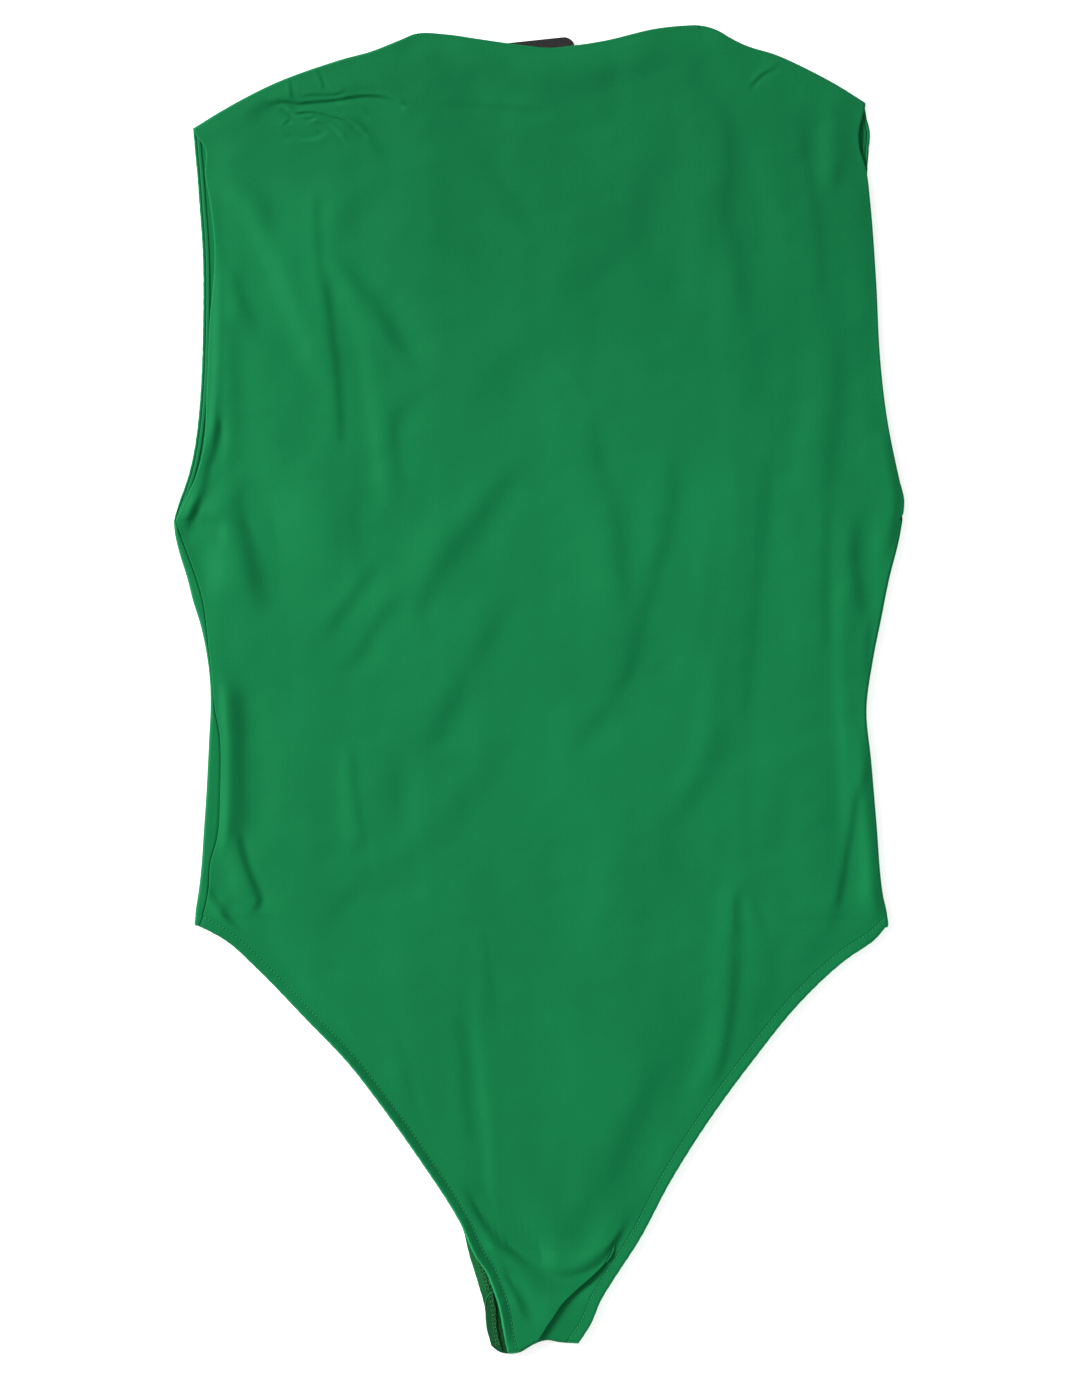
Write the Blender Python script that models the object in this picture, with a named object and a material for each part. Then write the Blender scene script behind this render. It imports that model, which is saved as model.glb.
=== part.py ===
# A sleeveless bodysuit in stretch jersey, laid flat on a table with its front up.
# Millimetres in the tables below; x runs across, y from the crotch to the neck, z up from the table.
# The back lies flat on the table, the front lies on it, and they meet along the sides and shoulders.
import math
from collections import namedtuple

import bpy
import bmesh

MM = 0.001                # the scene is in metres
CENTRE_Y = -0.3           # the tables' y at the middle of the laid length

# Cloth
WALL = 1.2                # jersey, with its nap
HEM_WALL = 1.5            # two turned layers, pressed
GAP = 0.3                 # between sewn pieces
LAID = 3.6                # height of the two laid layers, front over back
ROLL = LAID / 2           # radius of the side and shoulder folds
LEG_HEM = 6.3             # width of a turned leg hem
ARM_HEM = 3.6             # width of a turned armhole hem
HIGHEST, LOWEST = 2.6, -0.8    # how far a fold may lift or sink the front
CALM = 12.0               # folds die out this near the front's edges
NECK_CALM = 15.0          # and over this stretch above and below the label
FOLD_ENDS = 2.5           # a fold's ends fade over this many of its widths
PROBE = 2.0               # half the stretch over which an edge's slope is taken

# Heights of the corners, and the stretches over which hems turn to meet the edges there
BOTTOM, SEAT_SEAM, PLEAT_TOP, HIP_LEFT, HIP_RIGHT = -376.0, -350.0, -322.0, -136.0, -137.0
UNDERARM = 97.0
HIP_TURN, CROTCH_TURN, UNDERARM_TURN = 30.0, 8.0, 12.0

Leg = namedtuple("Leg", "level front back")
LEFT_LEG = (
    Leg(-136.0, -195.4, -196.4), Leg(-144.3, -180.5, -179.3), Leg(-160.0, -162.9, -161.8),
    Leg(-190.3, -133.4, -132.4), Leg(-213.3, -111.2, -110.2), Leg(-236.3, -93.1, -92.0),
    Leg(-270.8, -68.4, -67.5), Leg(-305.3, -46.0, -45.7), Leg(-326.6, -36.2, -39.8),
    Leg(-334.1, -30.9, -37.4), Leg(-344.4, -26.5, -34.3), Leg(-354.8, -23.0, -31.4),
    Leg(-366.9, -20.1, -30.2), Leg(-376.0, -17.8, -27.6),
)
RIGHT_LEG = (
    Leg(-137.0, 199.0, 199.0), Leg(-144.3, 192.6, 191.0), Leg(-155.8, 176.0, 174.8),
    Leg(-178.8, 151.2, 150.0), Leg(-213.3, 123.0, 121.8), Leg(-247.8, 97.7, 96.6),
    Leg(-282.3, 75.9, 74.8), Leg(-316.8, 57.5, 56.4), Leg(-339.8, 42.6, 41.6),
    Leg(-351.3, 35.6, 34.6), Leg(-364.6, 29.9, 28.9), Leg(-376.0, 22.6, 21.6),
)
Side = namedtuple("Side", "level fold seam")
LEFT_SIDE = (
    Side(97.0, -209.9, -209.0), Side(90.0, -209.4, -206.6), Side(80.0, -207.2, -202.9),
    Side(63.0, -202.0, -196.7), Side(51.0, -199.0, -193.2), Side(37.0, -194.6, -191.2),
    Side(20.0, -191.0, -189.6), Side(4.0, -189.1, -188.2), Side(-12.0, -188.8, -186.2),
    Side(-26.0, -189.5, -183.6), Side(-60.0, -191.2, -183.2), Side(-85.0, -192.9, -184.7),
    Side(-100.0, -193.9, -188.8), Side(-116.0, -195.6, -190.0), Side(-126.0, -197.2, -192.0),
    Side(-136.0, -198.2, -195.5),
)
RIGHT_SIDE = (
    Side(97.0, 208.9, 208.9), Side(86.0, 207.0, 207.0), Side(63.0, 201.2, 201.2),
    Side(40.0, 196.6, 196.6), Side(17.0, 192.0, 192.0), Side(-12.0, 188.2, 188.2),
    Side(-41.0, 190.9, 190.9), Side(-75.0, 193.8, 193.8), Side(-118.0, 197.6, 197.6),
    Side(-128.0, 199.8, 199.8), Side(-137.0, 200.8, 200.8),
)
Armhole = namedtuple("Armhole", "level front back")
LEFT_ARMHOLE = (
    Armhole(322.0, -199.0, -199.0), Armhole(318.0, -196.9, -198.6), Armhole(311.0, -192.2, -198.0),
    Armhole(295.0, -191.9, -196.5), Armhole(281.0, -189.5, -195.5), Armhole(250.0, -186.4, -193.4),
    Armhole(212.0, -189.2, -193.2), Armhole(168.0, -191.1, -194.8), Armhole(139.0, -192.8, -198.0),
    Armhole(122.0, -197.3, -201.8), Armhole(105.0, -205.0, -207.7), Armhole(97.0, -208.2, -209.9),
)
RIGHT_ARMHOLE = (
    Armhole(336.5, 187.9, 187.0), Armhole(328.0, 185.8, 188.4), Armhole(320.0, 184.0, 190.2),
    Armhole(310.0, 184.6, 189.6), Armhole(299.0, 187.9, 188.8), Armhole(281.0, 190.2, 188.6),
    Armhole(235.0, 193.7, 192.2), Armhole(189.0, 196.1, 194.6), Armhole(155.0, 200.1, 198.6),
    Armhole(120.0, 207.2, 206.0), Armhole(109.0, 209.9, 208.6), Armhole(97.0, 208.9, 208.9),
)
Edge = namedtuple("Edge", "across level")
TOP = (
    Edge(-199.0, 322.0), Edge(-182.8, 332.0), Edge(-165.6, 341.5), Edge(-148.4, 349.6),
    Edge(-113.8, 361.7), Edge(-96.6, 366.4), Edge(-79.4, 373.2), Edge(-70.7, 376.6),
    Edge(-53.5, 376.2), Edge(-36.0, 373.7), Edge(-10.0, 370.0), Edge(6.0, 368.4),
    Edge(17.0, 369.4), Edge(38.0, 372.6), Edge(67.3, 379.5), Edge(84.5, 381.3),
    Edge(93.1, 381.3), Edge(101.8, 378.9), Edge(110.4, 373.9), Edge(119.0, 369.8),
    Edge(136.3, 364.4), Edge(153.5, 356.5), Edge(170.8, 347.3), Edge(188.0, 336.5),
)
BACK_NECK_DROP = 1.0      # the back neckline lies this far below the front one
LOW_EDGE = (
    Edge(-28.0, -376.8), Edge(-23.5, -380.6), Edge(-18.0, -381.9), Edge(-11.5, -381.3),
    Edge(-2.3, -376.2), Edge(4.6, -374.2), Edge(11.5, -375.3), Edge(22.4, -376.1),
)
# The knife pleat by the crotch: where its fold shows, how far it has turned (1 is right under),
# and how much cloth lies tucked under it.
Pleat = namedtuple("Pleat", "level fold turned tuck lift")
PLEAT = (
    Pleat(-322.0, 42.0, 0.0, 0.0, 0.0), Pleat(-330.6, 37.4, 0.45, 0.0, 0.1),
    Pleat(-337.0, 31.6, 0.8, 0.0, 0.3), Pleat(-344.0, 23.6, 1.0, 1.0, 0.6),
    Pleat(-353.1, 13.8, 1.0, 3.0, 0.9), Pleat(-362.8, 7.2, 1.0, 4.5, 1.0),
    Pleat(-376.0, -2.3, 1.0, 5.4, 1.0),
)
PLEAT_ROLL = (WALL + GAP) / 2      # radius of its turns, at the middle of the cloth

# The largest folds of the front: a line from start to end, bowed sideways, with a rounded section.
Fold = namedtuple("Fold", "start_x start_y end_x end_y bow width height")
FOLDS = (
    Fold(-180, 298, -150, 236, 3, 9, 1.9), Fold(-150, 238, -121, 158, 6, 10, 2.4),
    Fold(-183, 245, -184, 122, -3, 7, 1.3), Fold(-104, 238, -84, 110, -4, 11, 1.7),
    Fold(-142, 150, -128, 40, 4, 13, 1.8), Fold(-181, 78, -182, 30, 2, 7, 1.2),
    Fold(-177, -8, -176, -112, -3, 7, 2.2), Fold(-14, 150, -76, 34, 3, 10, 2.3),
    Fold(-2, 82, -66, -30, 4, 11, 1.9), Fold(-10, -30, -94, -112, 6, 15, 1.2),
    Fold(12, 150, 30, -30, -13, 15, 2.4), Fold(96, 335, 112, 204, 5, 10, 1.9),
    Fold(62, 300, 66, 190, 2, 12, 0.9), Fold(160, 318, 158, 232, 3, 8, 1.0),
    Fold(152, 196, 152, 10, 3, 11, 1.9), Fold(104, 118, 84, -78, -8, 12, 2.0),
    Fold(182, 110, 176, -96, 3, 7, 2.1), Fold(106, -86, 93, -232, -6, 8, 2.4),
    Fold(56, -236, 30, -300, 2, 11, 1.1), Fold(-34, -150, -30, -262, 1, 9, 0.9),
)

LABEL = {"middle": (-0.5, 363.6), "width": 43.0, "height": 20.5, "thick": 0.6, "tilt": 3.6, "corner": 1.2}

# Columns of the front: (column, share of the row's width); the shoulders end at the second and the
# last but one, with a narrow column beside each, and the pleat turns between its own stops.
COLUMN_STOPS = ((0, 0.0), (10, 0.3315), (11, 0.339), (23, 0.747), (24, 0.755), (31, 1.0))
LEG_CROWDING, ARM_CROWDING = 1.5, 1.25     # how much closer rows get by hip and underarm
PLEAT_STOPS = (19, 23, 24, 28)     # the pleat's first turn, then its tuck, then its last turn
ROWS_LOW, ROWS_LEG, ROWS_SIDE, ROWS_ARMHOLE, ROWS_ROLL = 12, 11, 14, 13, 3

GREEN = (0.0107, 0.2122, 0.0704, 1.0)
DARK_GREEN = (0.0095, 0.17, 0.058, 1.0)
INK = (0.012, 0.013, 0.016, 1.0)


def smooth(rows, key, at, column):
    """A table's column at a value of its key column, on a smooth curve through its rows."""
    rows = sorted(rows, key=lambda row: getattr(row, key))
    keys = [getattr(row, key) for row in rows]
    values = [getattr(row, column) for row in rows]
    at = min(max(at, keys[0]), keys[-1])
    k = max(i for i in range(len(rows) - 1) if keys[i] <= at)
    steps = [(values[i + 1] - values[i]) / (keys[i + 1] - keys[i]) for i in range(len(rows) - 1)]

    def slope(i):
        if i == 0 or i == len(rows) - 1:
            return steps[min(i, len(steps) - 1)]
        return (steps[i - 1] + steps[i]) / 2

    span = keys[k + 1] - keys[k]
    t = (at - keys[k]) / span
    return (
        values[k] * (2 * t**3 - 3 * t**2 + 1)
        + values[k + 1] * (3 * t**2 - 2 * t**3)
        + span * (slope(k) * (t**3 - 2 * t**2 + t) + slope(k + 1) * (t**3 - t**2))
    )


def ease(t):
    """0 to 1, with soft ends."""
    t = min(max(t, 0.0), 1.0)
    return t * t * (3 - 2 * t)


def mix(a, b, t):
    return a + (b - a) * t


def between(stops, at):
    """A straight-line look-up in (position, value) stops."""
    for (a, low), (b, high) in zip(stops, stops[1:]):
        if at <= b:
            return mix(low, high, (at - a) / (b - a))
    return stops[-1][1]


# ---------------------------------------------------------------- cut edges, seen from above


def top_edge(across):
    return smooth(TOP, "across", across, "level")


def low_edge(across):
    return smooth(LOW_EDGE, "across", across, "level")


def turned_angle(level):
    """How far round the left fold the back's cloth comes, in radians; past half a turn it lies flat."""
    over = smooth(LEFT_SIDE, "level", level, "seam") - smooth(LEFT_SIDE, "level", level, "fold")
    if over < ROLL:
        return math.pi - math.asin(1 - over / ROLL)
    return math.pi + (over - ROLL) / ROLL


def left_fold(level):
    """Where the flat back ends and its left fold starts."""
    return smooth(LEFT_SIDE, "level", level, "fold") + ROLL


def right_fold(level):
    return smooth(RIGHT_SIDE, "level", level, "fold") - ROLL


def front_left_side(level):
    """The front's left edge, a gap away from the end of the back's cloth."""
    angle = turned_angle(level)
    end = (angle - math.pi) * ROLL if angle > math.pi else -(ROLL - WALL) * math.sin(angle)
    return left_fold(level) + end + GAP


def settle(x, y):
    """The crotch's lower edge isn't straight: points near it follow it."""
    near = ease((SEAT_SEAM - y) / (SEAT_SEAM - BOTTOM))
    return x, y + near * (low_edge(x) - BOTTOM)


def leg_edge(leg, level):
    """A leg opening's cut edge, which ends on the side at the hip."""
    if level >= leg.rows[0].level:
        return leg.side(leg.rows[0].level), leg.rows[0].level
    return settle(smooth(leg.rows, "level", level, leg.layer), level)


def leg_inset(leg, level, depth):
    """The leg edge moved in by a hem's width. At the hip it runs up the side, at the crotch along it."""
    hip = leg.rows[0].level
    if level >= hip:
        return leg.side(hip + depth), hip + depth
    x = smooth(leg.rows, "level", level, leg.layer)
    above, below = min(level + PROBE, hip), max(level - PROBE, BOTTOM)
    run_x = smooth(leg.rows, "level", above, leg.layer) - smooth(leg.rows, "level", below, leg.layer)
    run_y = above - below
    size = math.hypot(run_x, run_y)
    across, up = leg.inward * run_y / size, -leg.inward * run_x / size
    side_lean = (leg.side(hip + depth) - leg.side(hip)) / depth
    by_hip = ease((level - hip + HIP_TURN) / HIP_TURN)
    by_crotch = ease((BOTTOM + CROTCH_TURN - level) / CROTCH_TURN)
    lean_x = mix(mix(across, side_lean, by_hip), leg.inward, by_crotch)
    lean_y = mix(mix(up, 1.0, by_hip), 0.0, by_crotch)
    reach = depth * mix(1 / (lean_x * across + lean_y * up), 1.0, by_hip ** 3)
    return settle(x + lean_x * reach, level + lean_y * reach)


def arm_hem(level):
    """An armhole hem's width, which narrows to the side fold at the underarm."""
    return mix(ROLL - GAP, ARM_HEM, ease((level - UNDERARM) / UNDERARM_TURN))


LegLine = namedtuple("LegLine", "rows layer inward side")
FRONT_LEFT = LegLine(LEFT_LEG, "front", 1, front_left_side)
BACK_LEFT = LegLine(LEFT_LEG, "back", 1, left_fold)
FRONT_RIGHT = LegLine(RIGHT_LEG, "front", -1, right_fold)
BACK_RIGHT = LegLine(RIGHT_LEG, "back", -1, right_fold)


# ---------------------------------------------------------------- relief of the front


def fold_lift(x, y):
    total = 0.0
    for fold in FOLDS:
        run_x, run_y = fold.end_x - fold.start_x, fold.end_y - fold.start_y
        length = math.hypot(run_x, run_y)
        along = ((x - fold.start_x) * run_x + (y - fold.start_y) * run_y) / length**2
        aside = ((x - fold.start_x) * -run_y + (y - fold.start_y) * run_x) / length
        aside -= fold.bow * 4 * along * (1 - along)
        inside = ease(0.5 + min(along, 1 - along) * length / (FOLD_ENDS * fold.width))
        total += fold.height * inside * math.exp(-((aside / fold.width) ** 2))
    return total


def relief(x, y, calm):
    """Height of the front's upper side above the laid height."""
    lift = fold_lift(x, y) + LOWEST
    return calm * (HIGHEST * math.tanh(lift / HIGHEST) if lift > 0 else lift)


# ---------------------------------------------------------------- solids


def material(name, colour, rough, sheen):
    made = bpy.data.materials.new(name)
    made.use_nodes = True
    shader = made.node_tree.nodes["Principled BSDF"]
    shader.inputs["Base Color"].default_value = colour
    shader.inputs["Roughness"].default_value = rough
    shader.inputs["Metallic"].default_value = 0.0
    shader.inputs["Sheen Weight"].default_value = sheen
    made.diffuse_color = colour
    return made


def solid(name, points, cells, look):
    """A closed wall: points maps a key to its outer and inner point, cells are its four-key faces."""
    mesh = bmesh.new()
    outer = {key: mesh.verts.new(place(pair[0])) for key, pair in points.items()}
    inner = {key: mesh.verts.new(place(pair[1])) for key, pair in points.items()}
    sides = {}
    for cell in cells:
        mesh.faces.new([outer[key] for key in cell])
        mesh.faces.new([inner[key] for key in reversed(cell)])
        for a, b in zip(cell, cell[1:] + cell[:1]):
            sides[a, b] = (b, a) not in sides
            if not sides[a, b]:
                sides[b, a] = False
    for (a, b), open_side in sides.items():
        if open_side:
            mesh.faces.new([outer[b], outer[a], inner[a], inner[b]])
    bmesh.ops.recalc_face_normals(mesh, faces=mesh.faces)
    data = bpy.data.meshes.new(name)
    mesh.to_mesh(data)
    mesh.free()
    made = bpy.data.objects.new(name, data)
    made.data.materials.append(look)
    bpy.context.scene.collection.objects.link(made)
    return made


def place(point):
    """Table millimetres to scene metres."""
    x, y, z = point
    return x * MM, (y - CENTRE_Y) * MM, z * MM


def rolled(x, y, away, angle, wall, upward):
    """A point on a fold that starts at (x, y) and turns towards away, down from the front or up from
    the back; past half a turn it lies flat on the other side."""
    turn, beyond = min(angle, math.pi), max(angle - math.pi, 0.0) * ROLL
    pair = []
    for radius in (ROLL, ROLL - wall):
        reach = radius * math.sin(turn) - beyond
        rise = radius * math.cos(turn)
        pair.append((x + away[0] * reach, y + away[1] * reach, ROLL - rise if upward else ROLL + rise))
    return tuple(pair)


def grid_cells(points, columns, rows):
    """Every cell of a grid whose four corners exist."""
    found = []
    for i, k in zip(columns, columns[1:]):
        for j, m in zip(rows, rows[1:]):
            cell = [(i, j), (k, j), (k, m), (i, m)]
            if all(key in points for key in cell):
                found.append(cell)
    return found


# ---------------------------------------------------------------- the front and its pleat

QUARTER = math.pi / 2 - GAP / (2 * ROLL)     # a side or shoulder fold stops half a gap short
FRONT_ROWS = (0, ROWS_LOW, ROWS_LOW + ROWS_LEG, ROWS_LOW + ROWS_LEG + ROWS_SIDE,
              ROWS_LOW + ROWS_LEG + ROWS_SIDE + ROWS_ARMHOLE)


def pleat_at(level):
    return Pleat(level, *(smooth(PLEAT, "level", level, name) for name in Pleat._fields[1:]))


def pleat_drop(pleat):
    """How much lower the cloth lies past the pleat than before it."""
    angle = math.pi * pleat.turned
    if angle < 0.01:
        return 0.0
    return 2 * PLEAT_ROLL * (1 - math.cos(angle)) / pleat.turned + pleat.tuck * math.sin(angle)


def pleat_section(level, left, right):
    """Across one row: (x, height, tilt) of the cloth's middle at each column."""
    pleat = pleat_at(level)
    turned, whole = max(pleat.turned, 0.001), pleat_drop(pleat)
    first, tucked, out, end = PLEAT_STOPS
    start = pleat.fold - PLEAT_ROLL - WALL / 2
    full = math.pi * turned
    section = []
    for i in range(first):
        t = i / first
        section.append((mix(left, start, t), whole * mix(pleat.lift, 1.0, t), 0.0))
    x, height = start, whole
    for i in range(first, tucked + 1):
        tilt = full * (i - first) / (tucked - first)
        section.append((start + PLEAT_ROLL * math.sin(tilt) / turned,
                        whole - PLEAT_ROLL * (1 - math.cos(tilt)) / turned, tilt))
    x, height, tilt = section[-1]
    x, height = x + pleat.tuck * math.cos(full), height - pleat.tuck * math.sin(full)
    for i in range(out, end + 1):
        tilt = full * (end - i) / (end - out)
        section.append((x + PLEAT_ROLL * (math.sin(full) - math.sin(tilt)) / turned,
                        height - PLEAT_ROLL * (math.cos(tilt) - math.cos(full)) / turned, tilt))
    last, columns = section[-1][0], COLUMN_STOPS[-1][0]
    for i in range(end + 1, columns + 1):
        section.append((mix(last, right, (i - end) / (columns - end)), 0.0, 0.0))
    return section


def leg_steps(count):
    """Shares of the way from crotch to hip, closer together by the hip, where the edge curves most."""
    return [1 - (1 - k / count) ** LEG_CROWDING for k in range(count)]


def side_rows(start_left, start_right, count, left_side, right_side):
    """Both ends of each row between hip and underarm."""
    rows = []
    for k in range(count + 1):
        a, b = mix(start_left, UNDERARM, k / count), mix(start_right, UNDERARM, k / count)
        rows.append(((left_side(a), a), (right_side(b), b)))
    return rows


def armhole_levels(count):
    """Closer together by the underarm, where the edge curves most."""
    return [(k / count) ** ARM_CROWDING for k in range(1, count + 1)]


def tip_level(armhole, layer, inset):
    """The height of an armhole's upper end, where it meets the shoulder fold."""
    return top_edge(smooth(armhole, "level", armhole[0].level - ROLL, layer) + inset) - ROLL


def upper_rows(layer, count, inset):
    """Both ends of each row between underarm and shoulder tip, and how near each row is to the top."""
    tips = [tip_level(armhole, layer, sign * inset(armhole[0].level))
            for armhole, sign in ((LEFT_ARMHOLE, 1), (RIGHT_ARMHOLE, -1))]
    rows = []
    for t in armhole_levels(count):
        a, b = (mix(UNDERARM, tip, t) for tip in tips)
        left = smooth(LEFT_ARMHOLE, "level", a, layer) + inset(a)
        right = smooth(RIGHT_ARMHOLE, "level", b, layer) - inset(b)
        rows.append(((left, a), (right, b), t))
    return rows


def row_points(left, right, nearness, stops, top_ends, drop):
    """Points across a row, pulled up towards the shoulders and neckline the nearer it is to them."""
    points = []
    for i in range(stops[-1][0] + 1):
        part = between(stops, i)
        x, y = mix(left[0], right[0], part), mix(left[1], right[1], part)
        top_x = mix(top_ends[0][0], top_ends[1][0], part)
        chord = mix(top_ends[0][1], top_ends[1][1], part)
        lower = ROLL if shoulder_column(i, stops) else drop
        points.append((x, y + nearness * (top_edge(top_x) - lower - chord)))
    return points


def shoulder_column(i, stops):
    return i <= stops[1][0] or i >= stops[-2][0]


def make_front(look):
    low, hip, side, tip = FRONT_ROWS[1:]
    columns = COLUMN_STOPS[-1][0]
    points = {}
    inset = LEG_HEM + GAP

    def put(i, j, x, y, calm):
        z = LAID + relief(x, y, calm)
        points[i, j] = (x, y, z), (x, y, z - WALL)

    def calm_across(x, left, right):
        return ease((x - left) / CALM) * ease((right - x) / CALM)

    for j in range(low):
        level = mix(BOTTOM, PLEAT_TOP, j / low)
        left, right = leg_inset(FRONT_LEFT, level, inset), leg_inset(FRONT_RIGHT, level, inset)
        for i, (x, height, tilt) in enumerate(pleat_section(level, left[0], right[0])):
            y = mix(left[1], right[1], min(max((x - left[0]) / (right[0] - left[0]), 0), 1))
            middle = LAID - WALL / 2 + height
            lean, rise = math.sin(tilt) * WALL / 2, math.cos(tilt) * WALL / 2
            points[i, j] = (x + lean, y, middle + rise), (x - lean, y, middle - rise)
    left, right = leg_inset(FRONT_LEFT, PLEAT_TOP, inset), leg_inset(FRONT_RIGHT, PLEAT_TOP, inset)
    section = pleat_section(PLEAT_TOP, left[0], right[0])
    flat = [(x - left[0]) / (right[0] - left[0]) for x, _, _ in section]
    for j, t in enumerate(leg_steps(ROWS_LEG), low):
        left = leg_inset(FRONT_LEFT, mix(PLEAT_TOP, HIP_LEFT, t), inset)
        right = leg_inset(FRONT_RIGHT, mix(PLEAT_TOP, HIP_RIGHT, t), inset)
        for i in range(columns + 1):
            part = mix(flat[i], between(COLUMN_STOPS, i), ease(t))
            x, y = mix(left[0], right[0], part), mix(left[1], right[1], part)
            put(i, j, x, y, calm_across(x, left[0], right[0]) * ease((y - PLEAT_TOP) / CALM))
    for k, (left, right) in enumerate(side_rows(HIP_LEFT + inset, HIP_RIGHT + inset, ROWS_SIDE,
                                                front_left_side, right_fold)):
        for i in range(columns + 1):
            part = between(COLUMN_STOPS, i)
            x, y = mix(left[0], right[0], part), mix(left[1], right[1], part)
            put(i, hip + k, x, y, calm_across(x, left[0], right[0]))
        for n in range(1, ROWS_ROLL + 1):
            points[columns + n, hip + k] = rolled(*right, (1, 0), QUARTER * n / ROWS_ROLL, WALL, False)
    above = upper_rows("front", ROWS_ARMHOLE, lambda level: 0.0)
    ends = above[-1][:2]
    for k, (left, right, t) in enumerate(above):
        for i, (x, y) in enumerate(row_points(left, right, t, COLUMN_STOPS, ends, 0.0)):
            top_x = mix(ends[0][0], ends[1][0], between(COLUMN_STOPS, i))
            below = top_edge(top_x) - y
            clear = 0.0 if shoulder_column(i, COLUMN_STOPS) else LABEL["height"]
            near_top = ease((below - ROLL - clear) / NECK_CALM)
            put(i, side + 1 + k, x, y, calm_across(x, left[0], right[0]) * near_top)
    for i, (x, y) in enumerate(row_points(*ends, 1.0, COLUMN_STOPS, ends, 0.0)):
        if shoulder_column(i, COLUMN_STOPS):
            for n in range(1, ROWS_ROLL + 1):
                points[i, tip + n] = rolled(x, y, (0, 1), QUARTER * n / ROWS_ROLL, WALL, False)
    cells = grid_cells(points, range(columns + ROWS_ROLL + 1), range(tip + ROWS_ROLL + 1))
    solid("front_panel", points, cells, look)


# ---------------------------------------------------------------- the back, the gusset and the hems

BACK_STOPS = ((0, 0.0), (4, 0.3315), (5, 0.345), (8, 0.741), (9, 0.755), (12, 1.0))
BACK_LEG_ROWS, BACK_ARM_ROWS, FOLD_COLUMNS = 9, 13, 7
GUSSET_COLUMNS, GUSSET_ROWS = 6, 5
GUSSET_CLEAR = (1.5 * GAP, 5 * GAP)      # its distance from the hems at its seam and where it turns up


def fold_angles(angle):
    """Steps round the left fold: even ones to half a turn, then one across the flat lap."""
    if angle <= math.pi:
        return [angle * n / FOLD_COLUMNS for n in range(1, FOLD_COLUMNS + 1)]
    return [math.pi * n / (FOLD_COLUMNS - 1) for n in range(1, FOLD_COLUMNS)] + [angle]


def make_back(look):
    columns, inset = BACK_STOPS[-1][0], LEG_HEM + GAP
    hip, side = BACK_LEG_ROWS, BACK_LEG_ROWS + ROWS_SIDE
    tip = side + BACK_ARM_ROWS
    points = {}

    def put(i, j, x, y):
        points[i, j] = (x, y, 0.0), (x, y, WALL)

    for j, t in enumerate(leg_steps(BACK_LEG_ROWS)):
        left = leg_inset(BACK_LEFT, mix(SEAT_SEAM, HIP_LEFT, t), inset)
        right = leg_inset(BACK_RIGHT, mix(SEAT_SEAM, HIP_RIGHT, t), inset)
        for i in range(columns + 1):
            part = between(BACK_STOPS, i)
            put(i, j, mix(left[0], right[0], part), mix(left[1], right[1], part))
    for k, (left, right) in enumerate(side_rows(HIP_LEFT + inset, HIP_RIGHT + inset, ROWS_SIDE,
                                                left_fold, right_fold)):
        for i in range(columns + 1):
            part = between(BACK_STOPS, i)
            put(i, hip + k, mix(left[0], right[0], part), mix(left[1], right[1], part))
        for n, angle in enumerate(fold_angles(turned_angle(left[1])), 1):
            points[-n, hip + k] = rolled(*left, (-1, 0), angle, WALL, True)
        for n in range(1, ROWS_ROLL + 1):
            points[columns + n, hip + k] = rolled(*right, (1, 0), QUARTER * n / ROWS_ROLL, WALL, True)
    above = upper_rows("back", BACK_ARM_ROWS, lambda level: arm_hem(level) + GAP)
    ends = above[-1][:2]
    for k, (left, right, t) in enumerate(above):
        for i, (x, y) in enumerate(row_points(left, right, t, BACK_STOPS, ends, BACK_NECK_DROP)):
            put(i, side + 1 + k, x, y)
    for i, (x, y) in enumerate(row_points(*ends, 1.0, BACK_STOPS, ends, BACK_NECK_DROP)):
        if shoulder_column(i, BACK_STOPS):
            for n in range(1, ROWS_ROLL + 1):
                points[i, tip + n] = rolled(x, y, (0, 1), QUARTER * n / ROWS_ROLL, WALL, True)
    cells = grid_cells(points, range(-FOLD_COLUMNS, columns + ROWS_ROLL + 1), range(tip + ROWS_ROLL + 1))
    solid("back_panel", points, cells, look)


def make_gusset(look):
    """The crotch piece, which turns up round the lower edge."""
    points = {}
    for j in range(GUSSET_ROWS + 1):
        inset = LEG_HEM + mix(*GUSSET_CLEAR, (j / GUSSET_ROWS) ** 2)
        level = mix(SEAT_SEAM - GUSSET_CLEAR[0], BOTTOM + ROLL, j / GUSSET_ROWS)
        left, right = leg_inset(BACK_LEFT, level, inset), leg_inset(BACK_RIGHT, level, inset)
        for i in range(GUSSET_COLUMNS + 1):
            part = i / GUSSET_COLUMNS
            x, y = mix(left[0], right[0], part), mix(left[1], right[1], part)
            if j == GUSSET_ROWS:
                y = low_edge(x) + ROLL
                for n in range(1, ROWS_ROLL + 1):
                    points[i, j + n] = rolled(x, y, (0, -1), QUARTER * n / ROWS_ROLL, WALL, True)
            points[i, j] = (x, y, 0.0), (x, y, WALL)
    cells = grid_cells(points, range(GUSSET_COLUMNS + 1), range(GUSSET_ROWS + ROWS_ROLL + 1))
    solid("crotch_gusset", points, cells, look)


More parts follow.
